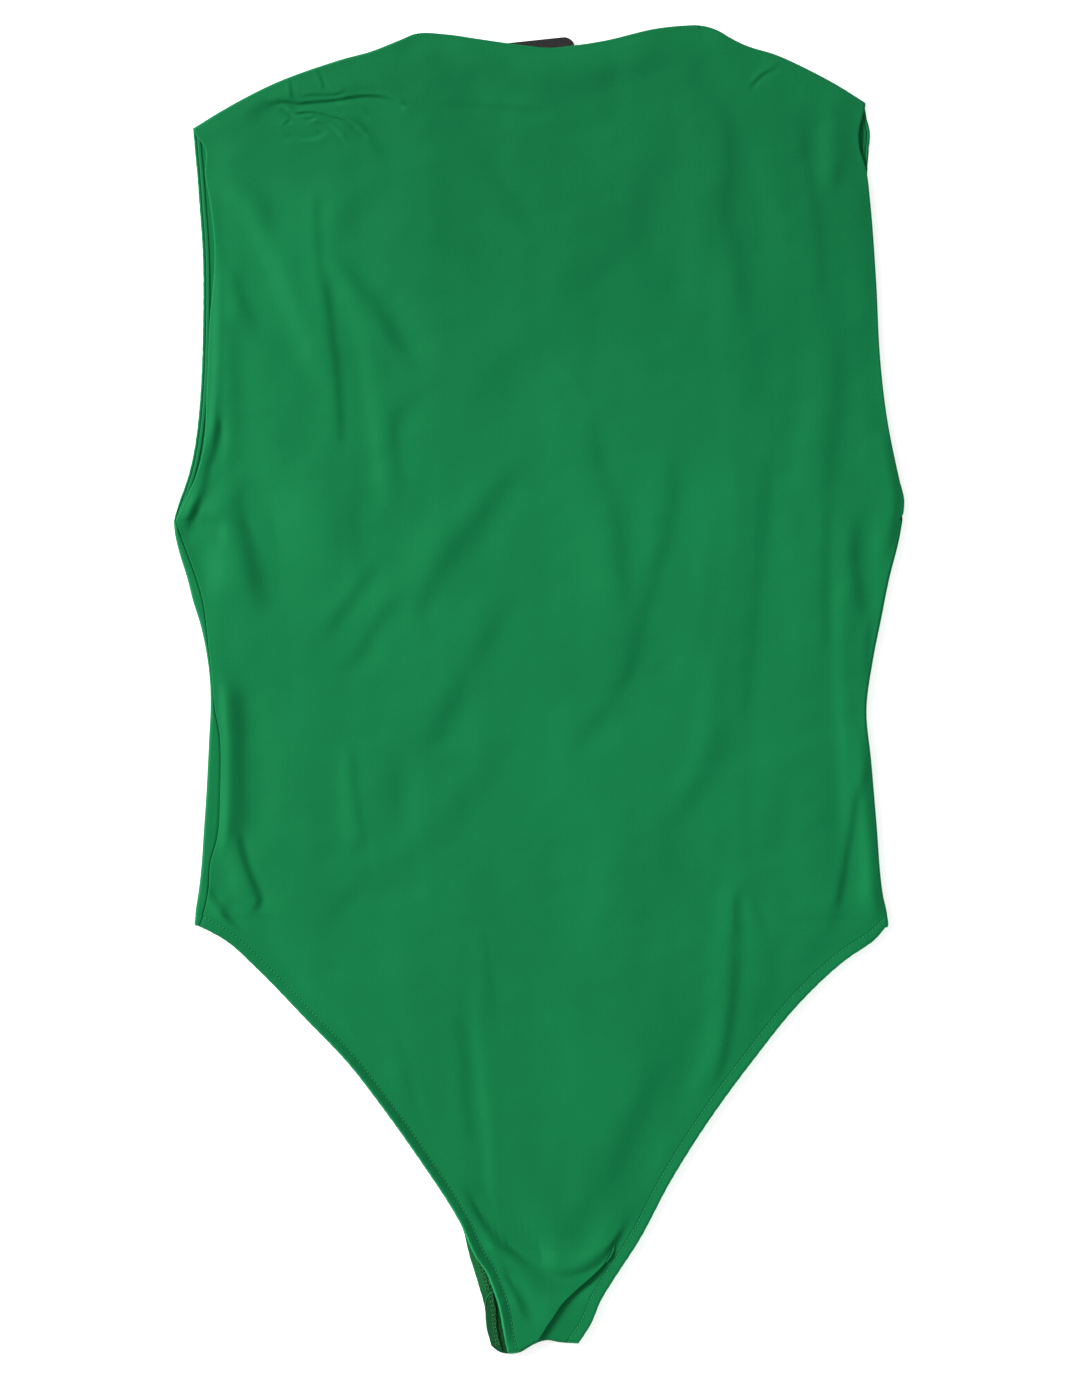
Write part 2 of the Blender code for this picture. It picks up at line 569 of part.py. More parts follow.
def make_leg_hem(name, leg, look):
    """A turned hem, flush with its panel's outer side, which follows the side fold at the hip."""
    points = {}
    for j, level in enumerate(leg_levels(leg)):
        lift = 0.0
        if leg is FRONT_LEFT and level < PLEAT_TOP:
            lift = pleat_drop(pleat_at(level)) * pleat_at(level).lift
        line = leg_edge(leg, level), leg_inset(leg, level, LEG_HEM)
        for i, (x, y) in enumerate(line):
            if leg.layer == "front":
                points[i, j] = (x, y, LAID + lift), (x, y, LAID + lift - HEM_WALL)
            else:
                points[i, j] = (x, y, 0.0), (x, y, HEM_WALL)
            if level == leg.rows[0].level and leg is not FRONT_LEFT:
                angles = [QUARTER * n / ROWS_ROLL for n in range(1, ROWS_ROLL + 1)]
                if leg is BACK_LEFT:
                    angles = fold_angles(turned_angle(y))
                for n, angle in enumerate(angles, 1):
                    away, upward = (-leg.inward, 0), leg.layer == "back"
                    points[i, j + n] = rolled(x, y, away, angle, HEM_WALL, upward)
    rows = sorted({j for _, j in points})
    solid(name, points, grid_cells(points, (0, 1), rows), look)


def make_arm_hem(name, rows, inward, look):
    """The back's turned armhole hem, on its flat part, from the underarm to the shoulder tip."""
    tip = tip_level(rows, "back", inward * (ARM_HEM + GAP))
    points = {}
    levels = [UNDERARM + GAP] + [mix(UNDERARM, tip, t) for t in armhole_levels(BACK_ARM_ROWS)]
    for j, level in enumerate(levels):
        edge = smooth(rows, "level", level, "back")
        for i, x in enumerate((edge, edge + inward * arm_hem(level))):
            points[i, j] = (x, level, 0.0), (x, level, HEM_WALL)
    solid(name, points, grid_cells(points, (0, 1), range(len(levels))), look)


# ---------------------------------------------------------------- the neck label

def make_label(look):
    """A bare woven label on the inside of the back neck, standing out above the neckline."""
    mesh = bmesh.new()
    bmesh.ops.create_cube(mesh, size=1.0)
    for vert in mesh.verts:
        vert.co.x *= LABEL["width"] * MM
        vert.co.y *= LABEL["height"] * MM
        vert.co.z *= LABEL["thick"] * MM
    upright = [edge for edge in mesh.edges if abs(edge.verts[0].co.z - edge.verts[1].co.z) > MM / 2]
    bmesh.ops.bevel(mesh, geom=upright, offset=LABEL["corner"] * MM, segments=3, profile=0.5,
                    affect="EDGES")
    data = bpy.data.meshes.new("neck_label")
    mesh.to_mesh(data)
    mesh.free()
    made = bpy.data.objects.new("neck_label", data)
    made.data.materials.append(look)
    x, y = LABEL["middle"]
    made.location = place((x, y, WALL + GAP + LABEL["thick"] / 2))
    made.rotation_euler.z = math.radians(LABEL["tilt"])
    bpy.context.scene.collection.objects.link(made)


# ---------------------------------------------------------------- the garment


def leg_levels(leg):
    """The rows of a leg hem, at the levels of the rows of what it edges."""
    hip = leg.rows[0].level
    turn, low, high = PLEAT_TOP, ROWS_LOW, ROWS_LEG
    if leg.layer == "back":
        turn, low, high = SEAT_SEAM, GUSSET_ROWS, BACK_LEG_ROWS
    levels = [mix(BOTTOM, turn, k / low) for k in range(low)]
    return levels + [mix(turn, hip, t) for t in leg_steps(high)] + [hip]


def main():
    for old in list(bpy.data.objects):
        bpy.data.objects.remove(old, do_unlink=True)
    make_front(material("jersey_front", GREEN, 0.62, 0.25))
    make_back(material("jersey_back", GREEN, 0.62, 0.25))
    make_gusset(material("jersey_gusset", DARK_GREEN, 0.7, 0.2))
    for name, leg in (("front_leg_hem_left", FRONT_LEFT), ("front_leg_hem_right", FRONT_RIGHT),
                      ("back_leg_hem_left", BACK_LEFT), ("back_leg_hem_right", BACK_RIGHT)):
        make_leg_hem(name, leg, material(name, DARK_GREEN, 0.66, 0.2))
    for name, armhole, inward in (("back_arm_hem_left", LEFT_ARMHOLE, 1),
                                  ("back_arm_hem_right", RIGHT_ARMHOLE, -1)):
        make_arm_hem(name, armhole, inward, material(name, DARK_GREEN, 0.66, 0.2))
    make_label(material("woven_label", INK, 0.55, 0.1))


main()
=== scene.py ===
import math

import bmesh
import bpy
import numpy as np
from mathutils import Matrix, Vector


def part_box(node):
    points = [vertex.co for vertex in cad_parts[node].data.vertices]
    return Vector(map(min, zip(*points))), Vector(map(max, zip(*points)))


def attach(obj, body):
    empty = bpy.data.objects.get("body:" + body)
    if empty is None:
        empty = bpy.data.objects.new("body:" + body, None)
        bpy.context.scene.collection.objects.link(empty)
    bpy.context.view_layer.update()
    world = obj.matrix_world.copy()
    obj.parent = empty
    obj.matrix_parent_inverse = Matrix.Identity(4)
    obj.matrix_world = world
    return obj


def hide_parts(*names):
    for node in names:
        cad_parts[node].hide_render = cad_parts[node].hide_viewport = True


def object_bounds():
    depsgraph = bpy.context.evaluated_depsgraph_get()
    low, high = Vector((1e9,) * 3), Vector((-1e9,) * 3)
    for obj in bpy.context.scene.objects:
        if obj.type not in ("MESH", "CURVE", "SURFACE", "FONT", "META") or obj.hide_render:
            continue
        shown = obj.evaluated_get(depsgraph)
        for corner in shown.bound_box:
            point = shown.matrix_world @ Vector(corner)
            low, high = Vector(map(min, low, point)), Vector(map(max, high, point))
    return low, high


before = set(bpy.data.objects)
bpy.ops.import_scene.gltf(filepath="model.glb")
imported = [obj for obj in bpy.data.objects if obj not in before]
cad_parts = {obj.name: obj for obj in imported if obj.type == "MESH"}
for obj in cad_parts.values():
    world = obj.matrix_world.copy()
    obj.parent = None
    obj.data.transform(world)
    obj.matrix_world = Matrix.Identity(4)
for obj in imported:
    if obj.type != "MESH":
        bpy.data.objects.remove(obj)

mm = 0.001
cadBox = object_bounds()
randomly = np.random.default_rng(7)
print("frame loaded,", len(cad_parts), "nodes, size", [round(s, 4) for s in cadBox[1] - cadBox[0]])


def linked(name, data):
    made = bpy.data.objects.new(name, data)
    bpy.context.scene.collection.objects.link(made)
    return made


# camera straight above the laid garment, top of the picture towards the neck
view = {"height": 2.6, "across": 0.575, "along": 0.3, "frameLength": 0.79235, "sensor": 36.0, "far": 20.0}
cameraData = bpy.data.cameras.new("camera")
cameraData.sensor_width = view["sensor"]
cameraData.lens = view["sensor"] * view["height"] / view["frameLength"]
cameraData.clip_end = view["far"]
camera = linked("camera", cameraData)
camera.location = (view["across"] * mm, view["along"] * mm, view["height"])
bpy.context.scene.camera = camera

# how the garment lies, in millimetres; y = 0 is the middle of the laid length
laid = {
    "middle": -0.3,
    "height": 3.6,          # front's outer side over the floor
    "armEdge": 2.9,         # the same at the open armholes and neckline
    "legEdge": 3.3,
    "edgeFall": 16.0,       # over this distance from the edge
    "wall": 0.9,            # jersey
    "seamGap": 0.06,
    "legHem": 6.3,
    "armHem": 3.6,
    "armHemStart": 12.0,    # over this distance above the underarm it gets to that width
    "bottom": -376.0,
    "seatSeam": -350.0,
    "pleatTop": -322.0,
    "hipLeft": -136.0,
    "hipRight": -137.0,
    "underarm": 97.0,
    "pleatRoll": 0.5,
}
roll = laid["height"] / 2   # radius of the side and shoulder folds

# level, front, back
leftLeg = np.array([
    (-136, -195.4, -196.4), (-144.3, -180.5, -179.3), (-160, -162.9, -161.8),
    (-190.3, -133.4, -132.4), (-213.3, -111.2, -110.2), (-236.3, -93.1, -92),
    (-270.8, -68.4, -67.5), (-305.3, -46, -45.7), (-326.6, -36.2, -39.8),
    (-334.1, -30.9, -37.4), (-344.4, -26.5, -34.3), (-354.8, -23, -31.4),
    (-366.9, -20.1, -30.2), (-376, -17.8, -27.6),
])
rightLeg = np.array([
    (-137, 199, 199), (-144.3, 192.6, 191), (-155.8, 176, 174.8),
    (-178.8, 151.2, 150), (-213.3, 123, 121.8), (-247.8, 97.7, 96.6),
    (-282.3, 75.9, 74.8), (-316.8, 57.5, 56.4), (-339.8, 42.6, 41.6),
    (-351.3, 35.6, 34.6), (-364.6, 29.9, 28.9), (-376, 22.6, 21.6),
])
# level, fold, seam
leftSide = np.array([
    (97, -209.9, -209), (90, -209.4, -206.6), (80, -207.2, -202.9),
    (63, -202, -196.7), (51, -199, -193.2), (37, -194.6, -191.2),
    (20, -191, -189.6), (4, -189.1, -188.2), (-12, -188.8, -186.2),
    (-26, -189.5, -183.6), (-60, -191.2, -183.2), (-85, -192.9, -184.7),
    (-100, -193.9, -188.8), (-116, -195.6, -190), (-126, -197.2, -192),
    (-136, -198.2, -195.5),
])
rightSide = np.array([
    (97, 208.9), (86, 207), (63, 201.2), (40, 196.6), (17, 192), (-12, 188.2),
    (-41, 190.9), (-75, 193.8), (-118, 197.6), (-128, 199.8), (-137, 200.8),
])
# level, front, back
leftArmhole = np.array([
    (322, -199, -199), (318, -196.9, -198.6), (311, -192.2, -198),
    (295, -191.9, -196.5), (281, -189.5, -195.5), (250, -186.4, -193.4),
    (212, -189.2, -193.2), (168, -191.1, -194.8), (139, -192.8, -198),
    (122, -197.3, -201.8), (105, -205, -207.7), (97, -208.2, -209.9),
])
rightArmhole = np.array([
    (336.5, 187.9, 187), (328, 185.8, 188.4), (320, 184, 190.2),
    (310, 184.6, 189.6), (299, 187.9, 188.8), (281, 190.2, 188.6),
    (235, 193.7, 192.2), (189, 196.1, 194.6), (155, 200.1, 198.6),
    (120, 207.2, 206), (109, 209.9, 208.6), (97, 208.9, 208.9),
])
# across, level
topLine = np.array([
    (-199, 322), (-182.8, 332), (-165.6, 341.5), (-148.4, 349.6), (-113.8, 361.7),
    (-96.6, 366.4), (-79.4, 373.2), (-70.7, 376.6), (-53.5, 376.2), (-36, 373.7),
    (-10, 370), (6, 368.4), (17, 369.4), (38, 372.6), (67.3, 379.5), (84.5, 381.3),
    (93.1, 381.3), (101.8, 378.9), (110.4, 373.9), (119, 369.8), (136.3, 364.4),
    (153.5, 356.5), (170.8, 347.3), (188, 336.5),
])
lowLine = np.array([
    (-28, -376.8), (-23.5, -380.6), (-18, -381.9), (-11.5, -381.3),
    (-2.3, -376.2), (4.6, -374.2), (11.5, -375.3), (22.4, -376.1),
])
# level, fold, turned, tuck, lift
pleatLine = np.array([
    (-322, 42, 0, 0, 0), (-330.6, 37.4, 0.45, 0, 0.1), (-337, 31.6, 0.8, 0, 0.3),
    (-344, 23.6, 1, 1, 0.6), (-353.1, 13.8, 1, 3, 0.9), (-362.8, 7.2, 1, 4.5, 1),
    (-376, -2.3, 1, 5.4, 1),
])


def smooth(rows, at, column):
    # smooth curve through a table's rows, for one value or many
    rows = rows[np.argsort(rows[:, 0])]
    keys, values = rows[:, 0], rows[:, column]
    at = np.clip(at, keys[0], keys[-1])
    k = np.clip(np.searchsorted(keys, at, side="right") - 1, 0, len(keys) - 2)
    steps = np.diff(values) / np.diff(keys)
    slopes = np.concatenate([steps[:1], (steps[1:] + steps[:-1]) / 2, steps[-1:]])
    span = keys[k + 1] - keys[k]
    t = (at - keys[k]) / span
    return (values[k] * (2 * t**3 - 3 * t**2 + 1) + values[k + 1] * (3 * t**2 - 2 * t**3)
            + span * (slopes[k] * (t**3 - 2 * t**2 + t) + slopes[k + 1] * (t**3 - t**2)))


def ease(t):
    t = np.clip(t, 0.0, 1.0)
    return t * t * (3 - 2 * t)


def mix(a, b, t):
    return a + (b - a) * t


def topEdge(x):
    return smooth(topLine, x, 1)


def lowEdge(x):
    return smooth(lowLine, x, 1)


def turnedAngle(level):
    # how far round the left fold the back's cloth comes; past half a turn it lies flat
    over = smooth(leftSide, level, 2) - smooth(leftSide, level, 1)
    return np.where(over < roll, math.pi - np.arcsin(np.clip(1 - over / roll, -1, 1)),
                    math.pi + (over - roll) / roll)


def leftFold(level):
    return smooth(leftSide, level, 1) + roll


def rightFold(level):
    return smooth(rightSide, level, 1) - roll


def frontLeftSide(level):
    # the front's left edge, which meets the end of the back's cloth
    angle = turnedAngle(level)
    end = np.where(angle > math.pi, (angle - math.pi) * roll, -(roll - laid["wall"]) * np.sin(angle))
    return leftFold(level) + end + laid["seamGap"]


def byBottom(y):
    # 0 at the seat seam, 1 at the crotch's lower edge
    return ease((laid["seatSeam"] - y) / (laid["seatSeam"] - laid["bottom"]))


def settle(x, y):
    # points near the crotch follow its lower edge
    return x, y + byBottom(y) * (lowEdge(x) - laid["bottom"])


# table, its column, which way is inward, the side that it ends on
legLines = {
    "frontLeft": (leftLeg, 1, 1, frontLeftSide),
    "backLeft": (leftLeg, 2, 1, leftFold),
    "frontRight": (rightLeg, 1, -1, rightFold),
    "backRight": (rightLeg, 2, -1, rightFold),
}
# reach of the turn at each end, and of the differences that give an edge's direction
legEnds = {"hip": 30.0, "crotch": 8.0, "along": 2.0, "side": 6.0}


def legInset(line, level, depth):
    # a leg edge moved in; it runs up the side at the hip and along the lower edge at the crotch
    rows, layer, inward, side = legLines[line]
    hip = rows[0, 0]
    x = smooth(rows, level, layer)
    above = np.minimum(level + legEnds["along"], hip)
    below = np.maximum(level - legEnds["along"], laid["bottom"])
    runX, runY = smooth(rows, above, layer) - smooth(rows, below, layer), np.maximum(above - below, 0.01)
    size = np.hypot(runX, runY)
    across, up = inward * runY / size, -inward * runX / size
    sideLean = (side(hip + legEnds["side"]) - side(hip)) / legEnds["side"]
    byHip = ease((level - hip + legEnds["hip"]) / legEnds["hip"])
    byCrotch = ease((laid["bottom"] + legEnds["crotch"] - level) / legEnds["crotch"])
    leanX = mix(mix(across, sideLean, byHip), inward, byCrotch)
    leanY = mix(mix(up, 1.0, byHip), 0.0, byCrotch)
    reach = depth * mix(1 / (leanX * across + leanY * up), 1.0, byHip**3)
    x, y = settle(x + leanX * reach, level + leanY * reach)
    atHip = level >= hip
    return np.where(atHip, side(hip + depth), x), np.where(atHip, hip + depth, y)


def armHem(level):
    return mix(roll - laid["seamGap"], laid["armHem"], ease((level - laid["underarm"]) / laid["armHemStart"]))


print("outline tables read")


class Wire:
    # a shader socket that takes part in sums

    def __init__(self, tree, socket):
        self.tree, self.socket = tree, socket

    def make(self, kind, settings=None, inputs=None, output=0):
        node = self.tree.nodes.new(kind)
        for name, value in (settings or {}).items():
            setattr(node, name, value)
        for name, value in (inputs or {}).items():
            if isinstance(value, Wire):
                self.tree.links.new(value.socket, node.inputs[name])
            else:
                node.inputs[name].default_value = value
        return Wire(self.tree, node.outputs[output])

    def math(self, operation, *values):
        return self.make("ShaderNodeMath", {"operation": operation}, dict(enumerate(values)))

    def __add__(self, other):
        return self.math("ADD", self, other)

    def __sub__(self, other):
        return self.math("SUBTRACT", self, other)

    def __rsub__(self, other):
        return self.math("SUBTRACT", other, self)

    def __mul__(self, other):
        return self.math("MULTIPLY", self, other)

    def __truediv__(self, other):
        return self.math("DIVIDE", self, other)

    def sine(self):
        return self.math("SINE", self)

    def clamped(self):
        return self.make("ShaderNodeClamp", None, {"Value": self})

    def blend(self, a, b):
        # colour a where this is 0, b where it is 1
        return self.make("ShaderNodeMix", {"data_type": "RGBA"}, {0: self, 6: a, 7: b}, 2)

    def part(self, name):
        return self.make("ShaderNodeSeparateXYZ", None, {"Vector": self}, name)

    def noise(self, scale, detail, rough):
        return self.make("ShaderNodeTexNoise", None,
                         {"Vector": self, "Scale": scale, "Detail": detail, "Roughness": rough}, "Fac")


def rgb(red, green, blue):
    # a colour as it looks on screen, made linear
    return tuple(((c / 255 + 0.055) / 1.055) ** 2.4 if c > 10 else c / 255 / 12.92
                 for c in (red, green, blue)) + (1.0,)


# what all cloths share: noise detail and roughness, sway and share of both ribs, reach of the painted rim
# highlights
knit = {"patches": (3.0, 0.55), "fibres": (2.0, 0.6), "waleSway": 0.7, "courseSway": 0.5, "wale": 0.6,
        "course": 0.4, "roughSpread": 0.12, "paintedRimLight": (-1.5, 0.45), "paintedFarRimLight": (1.3, 0.3)}


def cloth(name, look):
    # knitted or woven cloth: fine ribs along and across, with a little unevenness
    material = bpy.data.materials.new(name)
    material.use_nodes = True
    tree = material.node_tree
    shader = tree.nodes["Principled BSDF"]
    spot = Wire(tree, None).make("ShaderNodeTexCoord", None, None, "Object")
    x, y = spot.part("X"), spot.part("Y")
    patches = spot.noise(look["patchScale"], *knit["patches"])
    fibres = spot.noise(look["fibreScale"], *knit["fibres"])
    tone = ((patches - 0.5) * look["patchTone"] + (fibres - 0.5) * look["fibreTone"] + 0.5).clamped()
    colour = tone.blend(look["dark"], look["light"])
    # darker below given levels: painted shade, partly also the inside's own darker colour
    for level, over, dark, light in look.get("below", ()):
        colour = ((level - y) / over).clamped().blend(colour, tone.blend(dark, light))
    # painted shade: blends towards a darker pair above a level and right of a place
    for level, over, side, across in look.get("paintedShadeRegions", ()):
        amount = ((y - level) / over).clamped() * ((x - side) / across).clamped()
        colour = amount.blend(colour, tone.blend(look["paintedShadeDark"], look["paintedShadeLight"]))
    if "paintedRimLight" in look:
        # painted highlights on edges: lighter where they face left towards the key light, and also where they
        # face right or towards the legs, over their shade
        normal = spot.make("ShaderNodeTexCoord", None, None, "Normal")
        facing = normal.part("X")
        gain, less = knit["paintedRimLight"]
        colour = (facing * gain - less).clamped().blend(colour, look["paintedRimLight"])
        gain, less = knit["paintedFarRimLight"]
        colour = ((facing - normal.part("Y")) * gain - less).clamped().blend(colour, look["paintedFarRimLight"])
    across, along = 2 * math.pi / look["wale"], 2 * math.pi / look["course"]
    wale = (x * across + (y * along).sine() * knit["waleSway"]).sine()
    course = (y * along + (x * (2 * across)).sine() * knit["courseSway"]).sine()
    grain = wale * knit["wale"] + course * knit["course"] + (fibres - 0.5) * look["fuzz"]
    bump = spot.make("ShaderNodeBump", None, {"Strength": look["bump"], "Distance": look["depth"],
                                              "Height": grain}, "Normal")
    rough = (fibres - 0.5) * knit["roughSpread"] + look["rough"]
    for socket, wire in (("Base Color", colour), ("Normal", bump), ("Roughness", rough)):
        tree.links.new(wire.socket, shader.inputs[socket])
    for socket, key in (("Sheen Weight", "sheen"), ("Sheen Roughness", "sheenRough"),
                        ("Sheen Tint", "sheenTint"), ("Specular IOR Level", "gloss")):
        shader.inputs[socket].default_value = look[key]
    material.diffuse_color = look["light"]
    return material


jerseyLook = {
    "dark": rgb(4, 113, 62), "light": rgb(12, 129, 74), "patchScale": 9.0, "fibreScale": 900.0,
    "patchTone": 0.7, "fibreTone": 0.6, "wale": 0.0007, "course": 0.00055, "fuzz": 1.2,
    "bump": 0.16, "depth": 0.0001, "rough": 0.7, "sheen": 0.04, "sheenRough": 0.5,
    "sheenTint": rgb(130, 220, 170), "gloss": 0.12,
    # painted shade: darker towards the right shoulder and the neckline, where the key light falls off
    "paintedShadeRegions": [(0.12, 0.16, -0.12, 0.08), (0.25, 0.07, -0.22, 0.05)],
    "paintedShadeDark": rgb(3, 104, 57), "paintedShadeLight": rgb(10, 120, 68),
}
jersey = cloth("green_jersey", jerseyLook)
# the hems: their edges get painted highlights
hemLook = dict(jerseyLook, dark=rgb(4, 111, 61), light=rgb(12, 127, 73), bump=0.2,
               paintedRimLight=rgb(30, 148, 90), paintedFarRimLight=rgb(26, 168, 102))
hemJersey = cloth("turned_jersey", hemLook)
# painted shade: much darker than the jersey, as the crotch piece lies in the hollow under the front
shadedInsideLook = dict(jerseyLook, dark=rgb(6, 62, 30), light=rgb(12, 80, 40))
shadedInsideJersey = cloth("jersey_inside_painted_shade", shadedInsideLook)
# the back's left leg hem, darker towards the crotch: partly its inside's own colour, partly painted shade in
# the crotch opening
turnedBackShadeLook = dict(hemLook, below=[(-0.25, 0.05, rgb(14, 98, 52), rgb(26, 114, 62)),
                                      (-0.343, 0.01, rgb(8, 70, 36), rgb(20, 92, 48))])
turnedBackShade = cloth("jersey_turned_back_with_painted_shade", turnedBackShadeLook)
threadLook = dict(jerseyLook, dark=rgb(10, 118, 66), light=rgb(34, 146, 90), fibreScale=2500.0,
                  wale=0.0003, course=0.0002, rough=0.55, gloss=0.2)
thread = cloth("green_thread", threadLook)
# painted shade: the right armhole's hem, which lies in the hollow under the front, darker than the jersey
armShadeLook = dict(jerseyLook, dark=rgb(6, 78, 42), light=rgb(12, 96, 54))
armShadeJersey = cloth("jersey_turned_arm_painted_shade", armShadeLook)
loopLook = dict(threadLook, dark=rgb(26, 98, 52), light=rgb(58, 136, 78))
loopThread = cloth("loose_loops", loopLook)
print("materials made")


def placed(points):
    # millimetres to metres, from the middle of the laid length
    return (np.asarray(points) - (0.0, laid["middle"], 0.0)) * mm


def addMesh(name, points, faces, material, sharp=50):
    mesh = bpy.data.meshes.new(name)
    mesh.from_pydata(placed(points).tolist(), [], faces)
    mesh.validate()
    mesh.shade_smooth()
    mesh.set_sharp_from_angle(angle=math.radians(sharp))
    mesh.materials.append(material)
    made = linked(name, mesh)
    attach(made, "root")
    return made


def gridCells(there, rows, columns):
    # the cells between kept rows and columns, four corners each, where every point inside is there
    size = there.shape[1]
    cells = []
    for low, high in zip(rows[:-1], rows[1:]):
        for left, right in zip(columns[:-1], columns[1:]):
            if there[low:high + 1, left:right + 1].all():
                lower, upper = low * size, high * size
                cells.append((lower + left, lower + right, upper + right, upper + left))
    return np.array(cells)


def shell(name, outer, wall, material, under=False, corners=None):
    # a cloth wall from a grid of points on its outer side, which faces down if it is under; with
    # its form's corner rows and columns, the hidden inner side has only every second one and those
    there = ~np.isnan(outer[..., 0])
    rowCount, columnCount = there.shape
    step = 2 if corners else 1
    lines = [sorted(set(range(0, count, step)) | {count - 1} | set(kept))
             for count, kept in zip(there.shape, corners or ((), ()))]
    fine = gridCells(there, range(rowCount), range(columnCount))
    coarse = gridCells(there, *lines)
    if under:
        fine, coarse = fine[:, ::-1], coarse[:, ::-1]
    flat = np.nan_to_num(outer.reshape(-1, 3))
    a, b, c, d = (flat[fine[:, k]] for k in range(4))
    facing = np.cross(c - a, d - b)
    normals = np.zeros_like(flat)
    for k in range(4):
        np.add.at(normals, fine[:, k], facing)
    normals /= np.linalg.norm(normals, axis=1, keepdims=True) + 1e-12
    used = there.reshape(-1)
    key = np.cumsum(used) - 1
    kept = np.unique(coarse)
    innerKey = np.full(len(flat), -1)
    innerKey[kept] = used.sum() + np.arange(len(kept))
    points = np.concatenate([flat[used], flat[kept] - normals[kept] * wall])
    faces = key[fine].tolist() + innerKey[coarse[:, ::-1]].tolist()
    # the border: follow it from one kept point to the next and close each stretch
    edges = np.concatenate([fine[:, [k, (k + 1) % 4]] for k in range(4)])
    code = np.sort(edges, axis=1).astype(np.int64) @ np.array([len(flat), 1])
    first, count = np.unique(code, return_index=True, return_counts=True)[1:]
    follow = dict(edges[first[count == 1]].tolist())
    for start in follow:
        if innerKey[start] >= 0:
            stretch = [start, follow[start]]
            while innerKey[stretch[-1]] < 0:
                stretch.append(follow[stretch[-1]])
            faces.append([int(key[k]) for k in reversed(stretch)]
                         + [int(innerKey[start]), int(innerKey[stretch[-1]])])
    return addMesh(name, points, faces, material)


def crease(x, y, points):
    # how far aside of a line each point is, to the right of one that runs down, above one that runs
    # across, and how far it is inside the line's ends
    points = np.array(points, dtype=float)
    down = np.ptp(points[:, 1]) >= np.ptp(points[:, 0])
    rows = points[:, ::-1] if down else points
    along, across = (y, x) if down else (x, y)
    slant = (smooth(rows, along + 1, 1) - smooth(rows, along - 1, 1)) / 2
    inside = np.minimum(along - rows[:, 0].min(), rows[:, 0].max() - along)
    return (across - smooth(rows, along, 1)) / np.sqrt(1 + slant**2), inside, np.ptp(rows[:, 0])


def reliefOf(folds, x, y):
    # the height that the folds add; each is felt up to five widths away and fades out at its ends
    total = np.zeros(np.shape(x))
    for kind in ("slopes", "ridges"):
        for amount, width, *points in folds[kind]:
            reach = 5 * width
            (left, low), (right, high) = np.min(points, axis=0) - reach, np.max(points, axis=0) + reach
            near = (x > left) & (x < right) & (y > low) & (y < high)
            aside, inside, length = crease(x[near], y[near], points)
            u, fade = aside / width, ease(inside / min(reach, 0.5 * length))
            if kind == "slopes":
                shape = width * np.tanh(u) * np.exp(-((u / 3) ** 2))
            else:
                shape = np.exp(-(u**2))
            total[near] += amount * shape * fade
    return total


